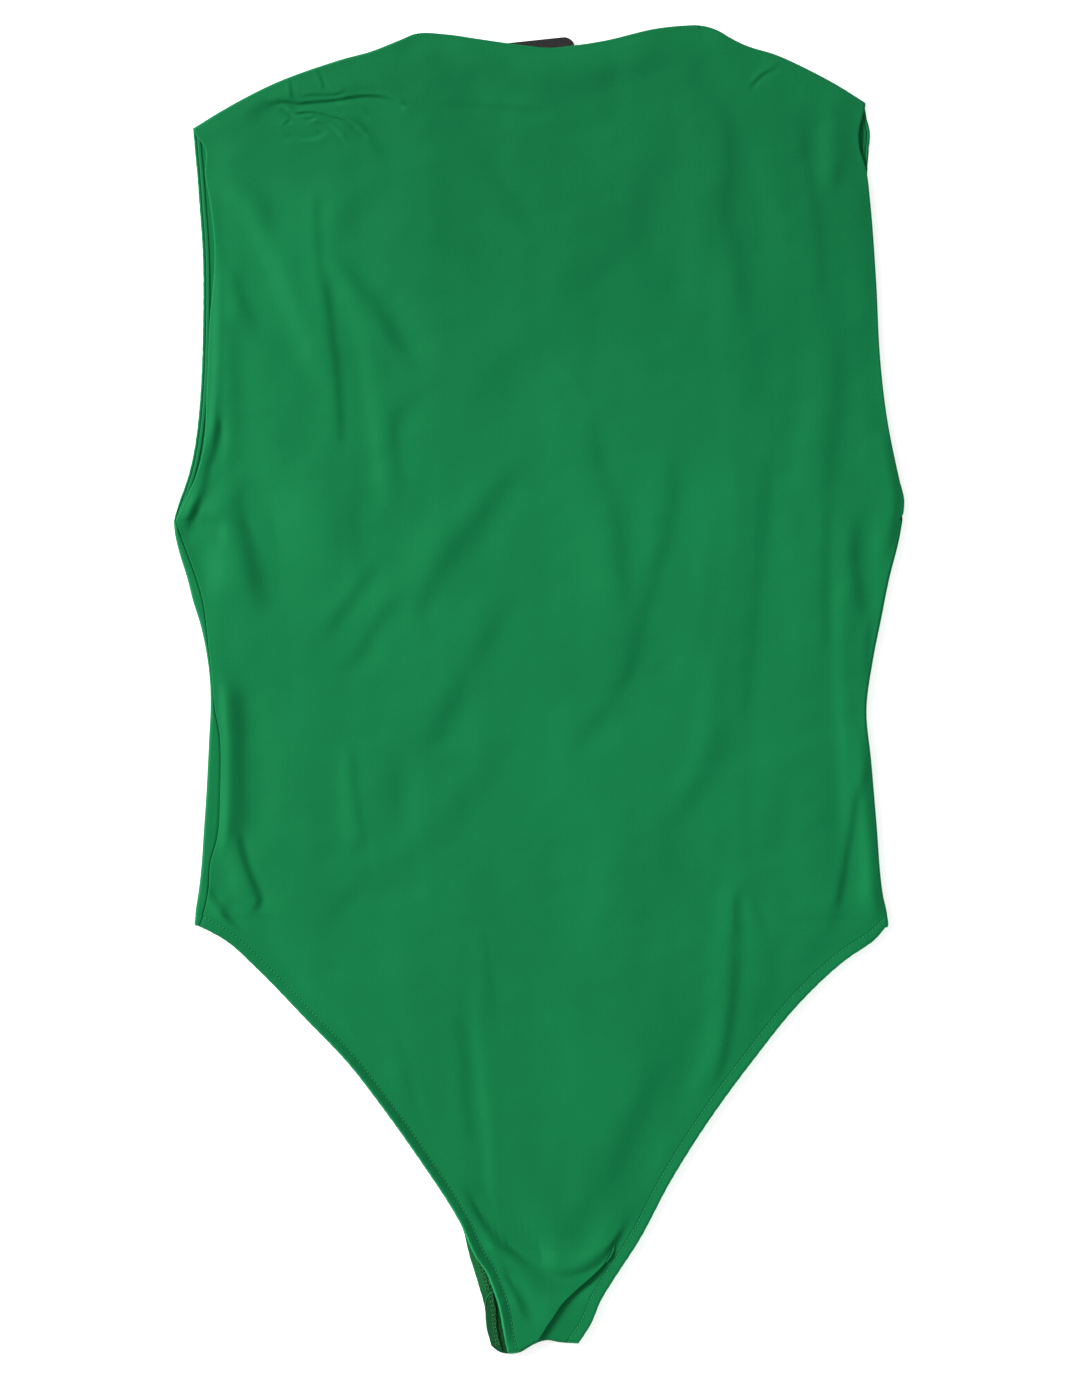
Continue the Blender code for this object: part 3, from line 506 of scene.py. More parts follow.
# slopes: steepness, width, line; a plus rises to the right, or towards the neck where it runs across
# ridges: height, width, line
frontSlopes = [
    # left: armhole and chest
    (0.1, 3, (-192, 302), (-187, 270), (-186, 235), (-187, 170)),
    (-0.14, 5, (-178, 300), (-160, 282), (-151, 256)),
    (0.22, 6, (-186, 298), (-172, 280), (-154, 243), (-138, 205), (-126, 168)),
    (-0.22, 4, (-179, 250), (-170, 222), (-159, 198)),
    (-0.13, 4.5, (-179, 222), (-175, 180), (-174, 150), (-178, 118)),
    (-0.75, 1, (-184.4, 157), (-184, 147), (-184.6, 141.7), (-186, 135), (-190, 128)),
    (-0.43, 3.2, (-186, 160), (-187.5, 146), (-190, 131), (-192, 117), (-196, 106), (-201, 98),
                 (-210, 86)),
    (0.6, 2.4, (-204, 100), (-190, 98.5), (-174, 95)),
    (0.26, 2, (-184.5, 98), (-181.5, 90), (-183, 80)),
    (-0.7, 1.3, (-195, 112), (-198.7, 101), (-200.7, 94.8), (-204.6, 90), (-208, 84)),
    (-0.3, 6, (-175, 128), (-172, 108), (-168, 86), (-163, 62), (-155, 36)),
    (0.18, 7, (-190, 96), (-186, 78), (-186, 44)),
    (0.12, 12, (-158, 160), (-150, 110), (-133, 55)),
    (-0.06, 6, (-121, 148), (-118, 100), (-112, 62)),
    (-0.16, 2.8, (-128, 290), (-126, 245), (-121, 216)),
    (-0.22, 2.8, (-122, 240), (-119, 205), (-116, 182), (-113, 136)),
    (0.12, 4.5, (-116, 246), (-107, 215), (-98, 170), (-93, 128), (-89, 96)),
    (-0.24, 4.8, (-124, 262), (-108, 237), (-95, 222), (-82, 198), (-68, 180)),
    (-0.15, 3.8, (-90, 220), (-72, 186)),
    (-0.1, 3, (-95, 199), (-84, 172)),
    (-0.12, 7, (-92, 295), (-110, 270), (-119, 244)),
    (-0.12, 3.5, (-107, 333), (-95, 314), (-84, 297)),
    (-0.1, 4, (-50, 184), (-67, 172), (-80, 160), (-83, 136)),
    (-0.1, 4, (-86, 164), (-78, 104)),
    (-0.08, 5, (-109, 126), (-103, 56)),
    (-0.2, 3.2, (-90, 76), (-106, 54), (-126, 26)),
    (-0.18, 4, (-74, 62), (-94, 36), (-107, 16), (-128, 2)),
    (-0.145, 5.5, (-2, 142), (-25, 110), (-42, 88), (-58, 66), (-68, 46), (-62, 22)),
    (0.06, 9, (-35, 128), (-62, 88), (-84, 48)),
    (-0.06, 10, (4, 132), (-16, 98), (-34, 74), (-50, 50), (-62, 24)),
    (-0.06, 10, (-84, 66), (-106, 42), (-128, 16), (-146, -10)),
    (0.08, 8, (-2, 118), (-25, 86), (-46, 50)),
    (-0.085, 7, (0, 74), (-22, 44), (-36, 20), (-50, -8), (-66, -40)),
    (-0.08, 12, (4, 220), (-18, 185), (-30, 146)),
    (-0.08, 4, (-40, 314), (-18, 282), (0, 252)),
    (-0.07, 8, (-70, 152), (-67, 120), (-70, 86)),
    (-0.07, 9, (-158, 100), (-156, 70), (-158, 36)),
    (0.07, 9, (-141, 150), (-134, 95), (-127, 52)),
    (-0.07, 8, (-167, 294), (-160, 262), (-149, 236)),
    # shoulders and neckline
    (1.1, 0.8, (-156, 337), (-145, 337.2), (-137.6, 336.2), (-131.8, 336.9), (-123, 337.6),
                (-115, 338.5), (-106.7, 340), (-97, 340.6), (-88, 339.6), (-76, 334)),
    (0.26, 3.4, (-172, 331), (-156, 336), (-140, 338.5), (-123, 339.5), (-100, 343), (-76, 339)),
    (0.6, 0.7, (-136, 340.9), (-127, 341.1), (-120, 341.1), (-111, 342.5)),
    (1.2, 0.7, (-149, 335), (-143, 331.9), (-139.3, 330.6), (-134.3, 331.2), (-128.5, 331.1),
                (-124.4, 330.1), (-119.4, 328.5), (-115.2, 327.6), (-111, 326.4), (-98, 318)),
    (0.95, 0.7, (-146, 333.5), (-141, 329.3), (-137.6, 328.1), (-133, 327.7), (-128, 328)),
    (0.6, 0.8, (-132, 326.2), (-125.2, 324.8), (-121.9, 323.9), (-119.4, 322.3), (-116, 319.4),
                (-109, 313)),
    (0.4, 1.2, (-118, 335.5), (-113.6, 334.6), (-106.7, 333), (-96, 328)),
    (-0.4, 1.2, (-148, 316.5), (-136, 315.2), (-128.5, 316), (-120, 319)),
    (-0.7, 0.7, (-144, 328), (-146, 323)),
    (-0.62, 0.7, (-143.4, 351), (-142.5, 345), (-141.8, 338)),
    (-0.7, 0.6, (-129, 358), (-126, 351.7), (-122.8, 343.5)),
    (0.16, 2.2, (-64, 337), (-30, 335), (10, 332)),
    (0.14, 7, (-66, 370), (-40, 358), (-14, 350)),
    (0.13, 11, (-84, 352), (-40, 350), (10, 346), (60, 354), (100, 360)),
    (0.6, 0.8, (120, 345), (128, 352.5), (139, 358.5)),
    (-0.08, 9, (98, 374), (90, 350), (104, 330)),
    # right: chest and side
    (-0.12, 6.5, (103, 350), (110, 305), (107, 278), (114, 248), (121, 198)),
    (0.06, 8, (91, 330), (88, 270), (84, 195)),
    (0.05, 7, (130, 334), (126, 300), (136, 262), (140, 222)),
    (-0.1, 3.6, (150, 333), (155, 295), (161, 262), (163, 218)),
    (0.11, 4.5, (164, 342), (164, 282)),
    (-0.13, 3.2, (174, 314), (170, 280)),
    (0.05, 6, (178, 304), (181, 240), (184, 192)),
    (-0.06, 6, (60, 306), (55, 270), (56, 234)),
    (0.05, 12, (76, 304), (70, 230)),
    (0.09, 6, (4, 234), (30, 240), (58, 252)),
    (0.16, 3.5, (2, 178), (16, 174), (32, 162)),
    (-0.1, 5, (26, 168), (34, 135), (42, 105), (47, 75), (48, 38)),
    (0.06, 13, (8, 160), (22, 100), (32, 50), (20, -16)),
    (-0.11, 5, (76, 142), (76, 100), (69, 72), (61, 46), (52, 12), (38, -12), (10, -46)),
    (0.05, 5, (62, 124), (62, 85), (56, 58)),
    (0.07, 6, (108, 146), (110, 95), (106, 55), (98, 10), (88, -40), (66, -84)),
    (0.05, 10, (93, 150), (92, 95), (88, 55), (80, 10), (70, -30)),
    (-0.1, 5, (130, 136), (129, 95), (125, 60), (121, 20), (117, -30)),
    (-0.07, 9, (115, 150), (113, 95), (109, 60), (104, 15), (95, -26), (84, -50)),
    (0.06, 8, (140, 120), (144, 60), (146, -4)),
    (-0.12, 5.5, (171, 210), (171, 165), (167, 130), (163, 92)),
    (0.08, 6, (160, 178), (150, 140), (148, 98)),
    (-0.12, 3, (166, 112), (164, 60), (166, 18)),
    (0.16, 4, (172, 70), (171, 20), (174, -40), (176, -92)),
    (-0.26, 3.6, (181, 100), (182, 68), (188, 36)),
    (0.12, 3, (192, 104), (195, 62)),
    (0.05, 8, (149, 64), (151, 24), (148, -14)),
    (-0.45, 3, (200, 154), (207, 112), (203, 74)),
    (-0.28, 1.7, (189, 40), (189, 0), (190, -30), (189.6, -45), (186.5, -54), (182.4, -61.5),
                 (180.4, -74), (177.8, -89.3), (175.4, -103.4), (173.2, -116), (170.5, -128)),
    (-0.1, 4, (176, -100), (170, -130), (166, -152)),
    (-0.42, 2.8, (188.5, -20), (191.5, -75), (194.8, -110), (197.5, -136)),
    (0.2, 5, (187, -58), (188, -95), (184, -136)),
    # right leg
    (-0.06, 9, (150, -16), (138, -70), (128, -116)),
    (0.1, 6, (110, -90), (102, -150), (98, -200), (82, -250)),
    (-0.24, 2.7, (113.5, -112), (113, -150), (111, -182), (103, -228)),
    (-0.11, 2.6, (121, -114), (130, -146), (136, -176)),
    (-0.06, 4, (118, -46), (120, -116)),
    (-0.1, 7, (118, -8), (98, -42), (84, -66), (68, -92)),
    (-0.06, 11, (62, -74), (76, -108), (92, -136)),
    (0.06, 15, (40, -40), (30, -110), (22, -176)),
    (-0.11, 7, (76, -200), (60, -238), (46, -268), (34, -306)),
    (0.07, 6, (88, -228), (68, -268), (50, -306)),
    (-0.45, 1.6, (52, -306), (45, -315), (38, -326)),
    (-0.25, 1.5, (46, -306), (33, -319)),
    # left side and leg
    (0.36, 2.3, (-182, 6), (-181, -50), (-183, -96)),
    (-0.24, 5.5, (-180, 18), (-173, -10), (-172, -60), (-168, -92)),
    (-0.07, 8, (-172, 12), (-166, -40), (-165, -102)),
    (-0.55, 1.4, (-173, -82), (-170.6, -92), (-166.7, -104.7), (-161.4, -117.4), (-160.4, -121.3),
                 (-163, -129)),
    (-0.2, 4, (-178, -64), (-171, -98), (-164, -116), (-163, -126), (-167, -138)),
    (0.2, 5, (-180, -84), (-176, -108), (-170, -132)),
    (-0.85, 1.4, (-192, -112), (-185.8, -121.8), (-182.4, -125.7), (-179.4, -131.1), (-172, -139)),
    (-0.3, 3, (-183, -116), (-178, -126), (-172, -137)),
    (0.08, 7, (-158, -124), (-146, -152), (-118, -194)),
    (0.12, 3.2, (-118, -184), (-100, -214)),
    (-0.12, 2.5, (-108, -30), (-105, -60), (-99, -94)),
    (0.08, 3.5, (-114, -30), (-110, -99)),
    (0.1, 3.5, (-98, -78), (-93, -114)),
    (-0.08, 6, (-88, -26), (-83, -58), (-81, -90)),
    (0.07, 7, (-75, -40), (-68, -104)),
    (0.07, 7, (-4, -22), (-30, -50), (-50, -74), (-74, -98), (-108, -121)),
    (-0.1, 6, (-43, 8), (-54, -16), (-69, -42)),
    (-0.07, 6, (-130, -146), (-116, -126), (-100, -108), (-96, -84)),
    (-0.1, 3, (-86, -188), (-78, -216), (-74, -240)),
    (0.1, 3, (-72, -218), (-64, -252)),
    (-0.12, 3.2, (-48, -180), (-43, -215), (-42, -240), (-38, -264)),
    (0.15, 2.6, (-39, -166), (-34, -220), (-30, -258), (-28, -300)),
    (-0.1, 2.2, (-32, -134), (-27, -186)),
    # crotch
    (0.46, 3.8, (-6, -331), (4, -334), (16, -336), (28, -332), (42, -322), (54, -310)),
    (-0.85, 5, (-48, -282), (-34, -303), (-24, -315), (-10, -328), (6, -343)),
    (0.22, 4, (-22, -322), (-14, -336), (-2, -350)),
    (0.12, 6, (-14, -320), (8, -328), (30, -320)),
    (-0.06, 8, (-8, -292), (10, -298), (28, -290)),
    (-0.42, 3, (-25, -324), (-18.5, -338), (-12.5, -348), (-8, -358), (-4, -368)),
]
frontRidges = [
    (0.5, 2.8, (-189, 288), (-185, 240), (-185, 190), (-186, 160), (-190, 132)),
    (-0.45, 0.6, (-127, 330.9), (-119.4, 328.4), (-115.2, 327.5), (-110, 325.6), (-103, 321)),
    (-0.4, 0.6, (-129, 325.8), (-121.9, 323.8), (-118, 321.2), (-113, 317)),
    (0.4, 2, (-187, 172), (-187.5, 150), (-190, 134)),
]
frontFolds = {"slopes": frontSlopes, "ridges": frontRidges}

# the jersey's own slight unevenness: waves in all directions, each of the same steepness
unevenness = {"waves": 44, "lengths": (12.0, 120.0), "slope": 0.0055}
waveTurns = randomly.uniform(0, 2 * math.pi, unevenness["waves"])
wavePhases = randomly.uniform(0, 2 * math.pi, unevenness["waves"])
waveLengths = np.geomspace(*unevenness["lengths"], unevenness["waves"])


def uneven(x, y):
    total = np.zeros(np.shape(x))
    for turn, phase, length in zip(waveTurns, wavePhases, waveLengths):
        high = unevenness["slope"] * length / (2 * math.pi)
        total += high * np.sin((x * math.cos(turn) + y * math.sin(turn)) * 2 * math.pi / length + phase)
    return total


edgeSteps = np.array([0.0, 0.03, 0.13, 0.32, 0.62, 1.0])     # shares of a rounded edge's radius
edgeRadius = 0.85
edgeMargin = 1.6 * edgeRadius
hemFall = 0.14              # how much of that rounding the front has beside its hems
sideFall = 0.6              # and at the side folds
frontGrid = {
    # runs of columns and rows: from, to, how many
    "shares": [(0.0, 0.125, 30), (0.125, 0.3315, 74), (0.3315, 0.339, 2), (0.339, 0.747, 84),
               (0.747, 0.755, 2), (0.755, 0.80, 11), (0.80, 0.885, 30), (0.885, 1.0, 27)],
    "sideParts": [(0.0, 0.2, 23), (0.2, 1.0, 45)],
    "armParts": [(0.0, 0.79, 52), (0.79, 0.855, 12), (0.855, 0.965, 50), (0.965, 0.993, 5)],
    "neck": (0.339, 0.747), "sameShare": 0.004, "pleatColumns": (148, 166, 169, 187),
    "lowRows": 36, "firstLow": 2.6, "legRows": 46, "rollSteps": 6,
    "legLean": 0.75,        # distance from a leg's edge for each millimetre along a row
    "armLength": 245,       # about the length from underarm to shoulder tip
    "armOver": 6,           # over this distance above the underarm the sides' rounding changes
    "levelAt": 0.55,        # where along a row near the crotch its level is taken
    # how far the pleat draws its cloth up, and over how much past the fold
    "pull": 0.65, "pullOver": 4.5,
    # the neckline's ends, over how far it gets lower there, and the same for the armholes and legs
    "neckEnds": (-84, 107), "neckOver": 14, "lowOver": 20,
    # how much of the relief is left at the sides and at the top, and over how far in it grows
    "atSides": 0.6, "sidesOver": 6, "atTop": 0.3, "topOver": 8,
    # how much fuller the middle lies, how far in from the edges, and how deep folds may go
    "puff": 0.8, "puffOver": 45.0, "lowest": -0.9,
}
inset = laid["legHem"] + laid["seamGap"]
quarter = math.pi / 2 - laid["seamGap"] / (2 * roll)
stepOff = edgeSteps * edgeRadius
edgeCount = len(edgeSteps)


def spread(runs, *more):
    # evenly spaced values in each run, then any more
    return np.concatenate([np.linspace(a, b, n, endpoint=False) for a, b, n in runs] + list(more))


shares = spread(frontGrid["shares"], [1.0])
innerCount = len(shares)
allColumns = innerCount + 2 * edgeCount


def roundedDrop(depth, radius=edgeRadius):
    # how far a rounded edge lies below the cloth at a distance from it
    inward = np.clip(radius - depth, 0.0, radius)
    return radius - np.sqrt(np.maximum(radius**2 - inward**2, 0.0))


def withEdges(inner, width):
    # a row's shares with the narrow steps of both rounded edges
    margin = edgeMargin / width
    return np.concatenate([stepOff / width, margin + inner * (1 - 2 * margin), 1 - stepOff[::-1] / width])


def pleatAt(level):
    return [smooth(pleatLine, level, k) for k in range(1, 5)]


def pleatDrop(turned, tuck):
    angle = math.pi * turned
    return 2 * laid["pleatRoll"] * (1 - math.cos(angle)) / max(turned, 0.001) + tuck * math.sin(angle)


def pleatSection(level, left, right):
    # across one row: place, height and tilt of the cloth's middle
    fold, turned, tuck, lift = pleatAt(level)
    turned, whole, radius = max(turned, 0.001), pleatDrop(turned, tuck), laid["pleatRoll"]
    first, tucked, out, end = frontGrid["pleatColumns"]
    start, full = fold - radius - laid["wall"] / 2, math.pi * turned
    t = np.arange(first) / first
    parts = [(mix(left, start, t), whole * mix(lift, 1.0, t), 0 * t)]
    tilt = full * np.arange(tucked - first + 1) / (tucked - first)
    parts.append((start + radius * np.sin(tilt) / turned, whole - radius * (1 - np.cos(tilt)) / turned, tilt))
    x, height = parts[-1][0][-1], parts[-1][1][-1]
    slid = tuck * np.arange(1, out - tucked) / (out - tucked)
    parts.append((x + slid * math.cos(full), height - slid * math.sin(full), full + 0 * slid))
    x, height = x + tuck * math.cos(full), height - tuck * math.sin(full)
    tilt = full * np.arange(end - out, -1, -1) / (end - out)
    parts.append((x + radius * (math.sin(full) - np.sin(tilt)) / turned,
                  height - radius * (np.cos(tilt) - math.cos(full)) / turned, tilt))
    t = np.arange(1, innerCount - end) / (innerCount - 1 - end)
    parts.append((mix(parts[-1][0][-1], right, t), 0 * t, 0 * t))
    return [np.concatenate(column) for column in zip(*parts)]


def tipLevel(rows, layer, aside):
    return topEdge(smooth(rows, rows[0, 0] - roll, layer) + aside) - roll


def upperRows(layer, parts, hemWidth):
    # both ends of each row between underarm and shoulder tip
    ends = []
    for rows, sign in ((leftArmhole, 1), (rightArmhole, -1)):
        tip = tipLevel(rows, layer, sign * hemWidth(rows[0, 0]))
        levels = mix(laid["underarm"], tip, parts)
        ends.append(list(zip(smooth(rows, levels, layer) + sign * hemWidth(levels), levels)))
    return list(zip(*ends))


def frontRest(x, y, fromLeft, fromRight, fromTop):
    # the laid height of the front, lower where its open edges lie on the back
    over, (neckLeft, neckRight), neckOver = frontGrid["lowOver"], frontGrid["neckEnds"], frontGrid["neckOver"]
    arm, leg = ease((y - laid["underarm"]) / over), ease((laid["hipLeft"] - y) / over)
    low = arm * (laid["height"] - laid["armEdge"]) + leg * (laid["height"] - laid["legEdge"])
    top = (laid["height"] - laid["armEdge"]) * (1 - ease(fromTop / laid["edgeFall"]))
    neck = ease((x - neckLeft) / neckOver) * ease((neckRight - x) / neckOver)
    sides = low * (2 - ease(fromLeft / laid["edgeFall"]) - ease(fromRight / laid["edgeFall"]))
    atSides, over = frontGrid["atSides"], frontGrid["sidesOver"]
    calm = (mix(atSides, 1.0, ease(fromLeft / over)) * mix(atSides, 1.0, ease(fromRight / over))
            * mix(frontGrid["atTop"], 1.0, ease(fromTop / frontGrid["topOver"])))
    nearest = np.minimum(np.minimum(fromLeft, fromRight), fromTop)
    puff = frontGrid["puff"] * ease(nearest / frontGrid["puffOver"])
    relief = np.maximum(puff + reliefOf(frontFolds, x, y), frontGrid["lowest"])
    return laid["height"] - np.maximum(sides, top * neck) + calm * (relief + uneven(x, y))


def settledRow(left, right, share):
    # a row's levels near the crotch, which follow the lower edge between its ends as well
    x, y = mix(left[0], right[0], share), mix(left[1], right[1], share)
    return y + byBottom(y) * (lowEdge(x) - mix(lowEdge(left[0]), lowEdge(right[0]), share))


def legRow(face, low, part):
    # both ends of a row between a low level and the hips
    return [legInset(face + side, mix(laid[low], laid["hip" + side], part), inset)
            for side in ("Left", "Right")]


def sideLevels(part):
    # the level of a row between hip and underarm, at its left and right end
    return [mix(laid[hip] + inset, laid["underarm"], part) for hip in ("hipLeft", "hipRight")]


def flatRow(left, right, share, *rounding, raised=0.0):
    # a row without rise or tilt between two places
    return (mix(left[0], right[0], share), mix(left[1], right[1], share) + raised,
            0 * share, 0 * share, *rounding)


def legParts(count):
    # shares of the way up a leg opening, closer together towards the hip
    return 1 - (1 - np.arange(count) / count) ** 1.3


def makeFront():
    pleatHigh = laid["pleatTop"] - laid["bottom"]
    lows = np.concatenate([stepOff * roll / edgeRadius,
                           np.linspace(frontGrid["firstLow"], pleatHigh, frontGrid["lowRows"])[:-1]])
    lowCount = len(lows)
    # x, level, rise and tilt of each row's points, how its two edges are rounded, how steep they run
    rows = []
    for level in np.append(laid["bottom"] + lows, laid["pleatTop"]):
        left, right = (legInset(line, level, inset) for line in ("frontLeft", "frontRight"))
        level = float(settledRow(left, right, frontGrid["levelAt"]))
        x, rise, tilt = pleatSection(level, left[0] + edgeMargin, right[0] - edgeMargin)
        flat = (x - x[0]) / (x[-1] - x[0])
        turned, tuck, lift = pleatAt(level)[1:]
        x = np.concatenate([left[0] + stepOff, x, right[0] - stepOff[::-1]])
        y = settledRow(left, right, np.clip((x - left[0]) / (right[0] - left[0]), 0, 1))
        rise = np.concatenate([np.full(edgeCount, pleatDrop(turned, tuck) * lift), rise, np.zeros(edgeCount)])
        tilt, second = np.pad(tilt, edgeCount), edgeCount + frontGrid["pleatColumns"][2]
        past = ease((x[second] + frontGrid["pullOver"] - x) / frontGrid["pullOver"])
        y += frontGrid["pull"] * np.where(np.arange(len(x)) < second, 1 - np.cos(tilt),
                                          2 * min(turned, 1.0) * past)
        rows.append((x, y, rise, tilt, hemFall, hemFall, 1.0))
    rows.pop()
    for part in legParts(frontGrid["legRows"]):
        left, right = legRow("front", "pleatTop", part)
        share = withEdges(mix(flat, shares, ease(part)), right[0] - left[0])
        rows.append(flatRow(left, right, share, hemFall, hemFall, frontGrid["legLean"]))
    for part in spread(frontGrid["sideParts"], [1.0]):
        left, right = sideLevels(part)
        share = withEdges(shares, rightFold(right) - frontLeftSide(left))
        rows.append(flatRow((frontLeftSide(left), left), (rightFold(right), right), share,
                            sideFall, 0.0, 1.0))
    sideRows = slice(lowCount + frontGrid["legRows"], len(rows))
    parts = spread(frontGrid["armParts"], [frontGrid["armParts"][-1][1]],
                   1 - stepOff[::-1] / frontGrid["armLength"])[1:]
    upper = upperRows(1, parts, lambda level: 0.0)
    (lastLeft, leftLevel), (lastRight, rightLevel) = upper[-1]
    share = withEdges(shares, lastRight - lastLeft)
    topX = mix(lastLeft, lastRight, share)
    low, high = frontGrid["neck"]
    neck = (share > low - frontGrid["sameShare"]) & (share < high + frontGrid["sameShare"])
    lift = topEdge(topX) - np.where(neck, 0.0, roll) - mix(leftLevel, rightLevel, share)
    for (left, right), part in zip(upper, parts):
        share = withEdges(shares, right[0] - left[0])
        arm = float(ease((left[1] - laid["underarm"]) / frontGrid["armOver"]))
        rows.append(flatRow(left, right, share, mix(sideFall, 1.0, arm), arm, 1.0, raised=part * lift))
    x, y, rise, tilt = (np.array([row[k] for row in rows]) for k in range(4))
    roundLeft, roundRight, lean = (np.array([row[k] for row in rows])[:, None] for k in range(4, 7))
    fromLeft, fromRight = x - x[:, :1], x[:, -1:] - x
    fromTop = np.tile(topEdge(topX), (len(x), 1)) - y
    z = frontRest(x, y, fromLeft * lean, fromRight * lean, fromTop)
    z += rise + (np.cos(tilt) - 1) * laid["wall"] / 2
    x += np.sin(tilt) * laid["wall"] / 2
    z[sideRows.stop:] -= np.where(neck, roundedDrop(fromTop[sideRows.stop:]), 0.0)
    # rounded down to the crotch's lower edge, with a hair's breadth over the crotch piece
    inward = np.clip((roll - (y[:lowCount] - lowEdge(x[:lowCount]))) / roll, 0.0, 1.0)
    z[:lowCount] = roll + laid["seamGap"] / 2 + (z[:lowCount] - roll) * np.sqrt(1 - inward**2)
    # across the pleat each edge is rounded only on its own side
    first, end = frontGrid["pleatColumns"][0] + edgeCount, frontGrid["pleatColumns"][3] + edgeCount
    fromLeft[:lowCount, first:] = math.inf
    fromRight[:lowCount, :end] = math.inf
    z -= roundLeft * roundedDrop(fromLeft) + roundRight * roundedDrop(fromRight)
    # quarter turns at the right side and over both shoulders
    steps, count, shoulders = frontGrid["rollSteps"], len(rows), np.where(~neck)[0]
    whole = np.full((count + steps, allColumns + steps, 3), np.nan)
    whole[:count, :allColumns] = np.stack([x, y, z], axis=-1)
    for n in range(1, steps + 1):
        angle = quarter * n / steps
        for place, edge, axis in (((sideRows, allColumns + n - 1), whole[sideRows, allColumns - 1], 0),
                                  ((count + n - 1, shoulders), whole[count - 1, shoulders], 1)):
            turned = edge.copy()
            turned[:, axis] += roll * math.sin(angle)
            turned[:, 2] = roll + (edge[:, 2] - roll) * math.cos(angle)
            whole[place] = turned
    neckEnds = (int(np.argmax(neck)) - 1, int(allColumns - np.argmax(neck[::-1])))
    return whole, ((sideRows.start, sideRows.stop - 1, count - 1), (allColumns - 1, *neckEnds))


frontPoints, frontCorners = makeFront()
front = shell("front", frontPoints, laid["wall"], jersey, corners=frontCorners)
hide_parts("front_panel")
print("front made,", len(front.data.polygons), "faces")

# the back: flat on the floor, turned up at the right side and shoulders, and lapped over the left side
backFolds = {"slopes": [], "ridges": [
    (0.55, 7, (-120, 300), (-96, 180), (-104, 60)), (0.45, 8, (70, 330), (92, 190), (76, 90)),
    (0.6, 9, (-40, 120), (-86, 10), (-120, -70)), (0.5, 8, (20, 60), (58, -60), (64, -170)),
    (0.45, 7, (140, 40), (132, -60), (118, -140)), (0.4, 6, (-20, -120), (-12, -220), (-24, -300)),
    (0.4, 8, (-150, 20), (-60, -8), (30, -20)),
]}
backGrid = {"columns": 96, "foldSteps": 14, "lapSteps": 5, "lapFrom": 0.35, "rollSteps": 6, "legRows": 44,
            "sideRows": 62, "armRows": 60, "neck": (0.345, 0.741), "neckDrop": 1.0, "underHem": 0.12,
            "calm": 14}     # calm: over this distance from its sides the folds grow


def turnedUp(part):
    # how far out and up the cloth comes along its quarter turn up from the floor
    return roll * math.sin(quarter * part), roll - roll * math.cos(quarter * part)


def foldAngles(angle):
    # steps round the left fold, then over the flat lap with a rounded end
    around = np.linspace(0, min(angle, math.pi), backGrid["foldSteps"] + 1)[1:]
    lap = max(angle - math.pi, 0.0)
    ends = np.linspace(backGrid["lapFrom"], 1.0, backGrid["lapSteps"])
    return np.concatenate([around, math.pi + lap * ends])


def makeBack():
    columns, steps = backGrid["columns"], backGrid["rollSteps"]
    share = np.linspace(0, 1, columns + 1)
    foldCount = backGrid["foldSteps"] + backGrid["lapSteps"]
    rows = []
    for part in legParts(backGrid["legRows"]):
        left, right = legRow("back", "seatSeam", part)
        rows.append((left, right, 0 * share))
    for part in np.linspace(0, 1, backGrid["sideRows"] + 1):
        left, right = sideLevels(part)
        rows.append(((leftFold(left), left), (rightFold(right), right), 0 * share))
    parts = np.linspace(0, 1, backGrid["armRows"] + 1)[1:]
    upper = upperRows(2, parts, lambda level: armHem(level) - backGrid["underHem"])
    low, high = backGrid["neck"]
    shoulder = (share < low) | (share > high)
    (lastLeft, leftLevel), (lastRight, rightLevel) = upper[-1]
    drop = np.where(shoulder, roll, backGrid["neckDrop"])
    lift = topEdge(mix(lastLeft, lastRight, share)) - drop - mix(leftLevel, rightLevel, share)
    rows += [(left, right, part * lift) for (left, right), part in zip(upper, parts)]
    whole = np.full((len(rows) + steps, foldCount + columns + 1 + steps, 3), np.nan)
    laidPart = slice(foldCount, foldCount + columns + 1)
    for j, (left, right, raised) in enumerate(rows):
        x, y = mix(left[0], right[0], share), mix(left[1], right[1], share) + raised
        near = np.minimum(x - left[0], right[0] - x)
        z = ease(near / backGrid["calm"]) * reliefOf(backFolds, x, y)
        whole[j, laidPart] = np.stack([x, y, z], axis=1)
    start, count = backGrid["legRows"], backGrid["sideRows"] + 1
    for j in range(start, start + count):
        (leftX, level), (rightX, rightLevel) = rows[j][:2]
        angles = foldAngles(turnedAngle(level))
        turn, beyond = np.minimum(angles, math.pi), np.maximum(angles - math.pi, 0) * roll
        x = leftX - roll * np.sin(turn) + beyond
        # on top it takes part in the front's folds
        over, y = (1 - np.cos(turn)) / 2, np.full_like(x, level)
        lifted = frontGrid["atSides"] * reliefOf(frontFolds, x, y)
        drop = sideFall * roundedDrop((angles[-1] - angles) * roll)
        z = roll - roll * np.cos(turn) + over * lifted - drop * over
        whole[j, :foldCount] = np.stack([x, y, z], axis=1)[::-1]
        for n in range(steps):
            aside, up = turnedUp((n + 1) / steps)
            whole[j, laidPart.stop + n] = rightX + aside, rightLevel, up
    edge = whole[len(rows) - 1, laidPart][shoulder]
    for n in range(steps):
        aside, up = turnedUp((n + 1) / steps)
        whole[len(rows) + n, laidPart][shoulder] = edge + (0.0, aside, up)
    return whole


back = shell("back", makeBack(), laid["wall"], jersey, under=True)
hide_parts("back_panel")
print("back made,", len(back.data.polygons), "faces")

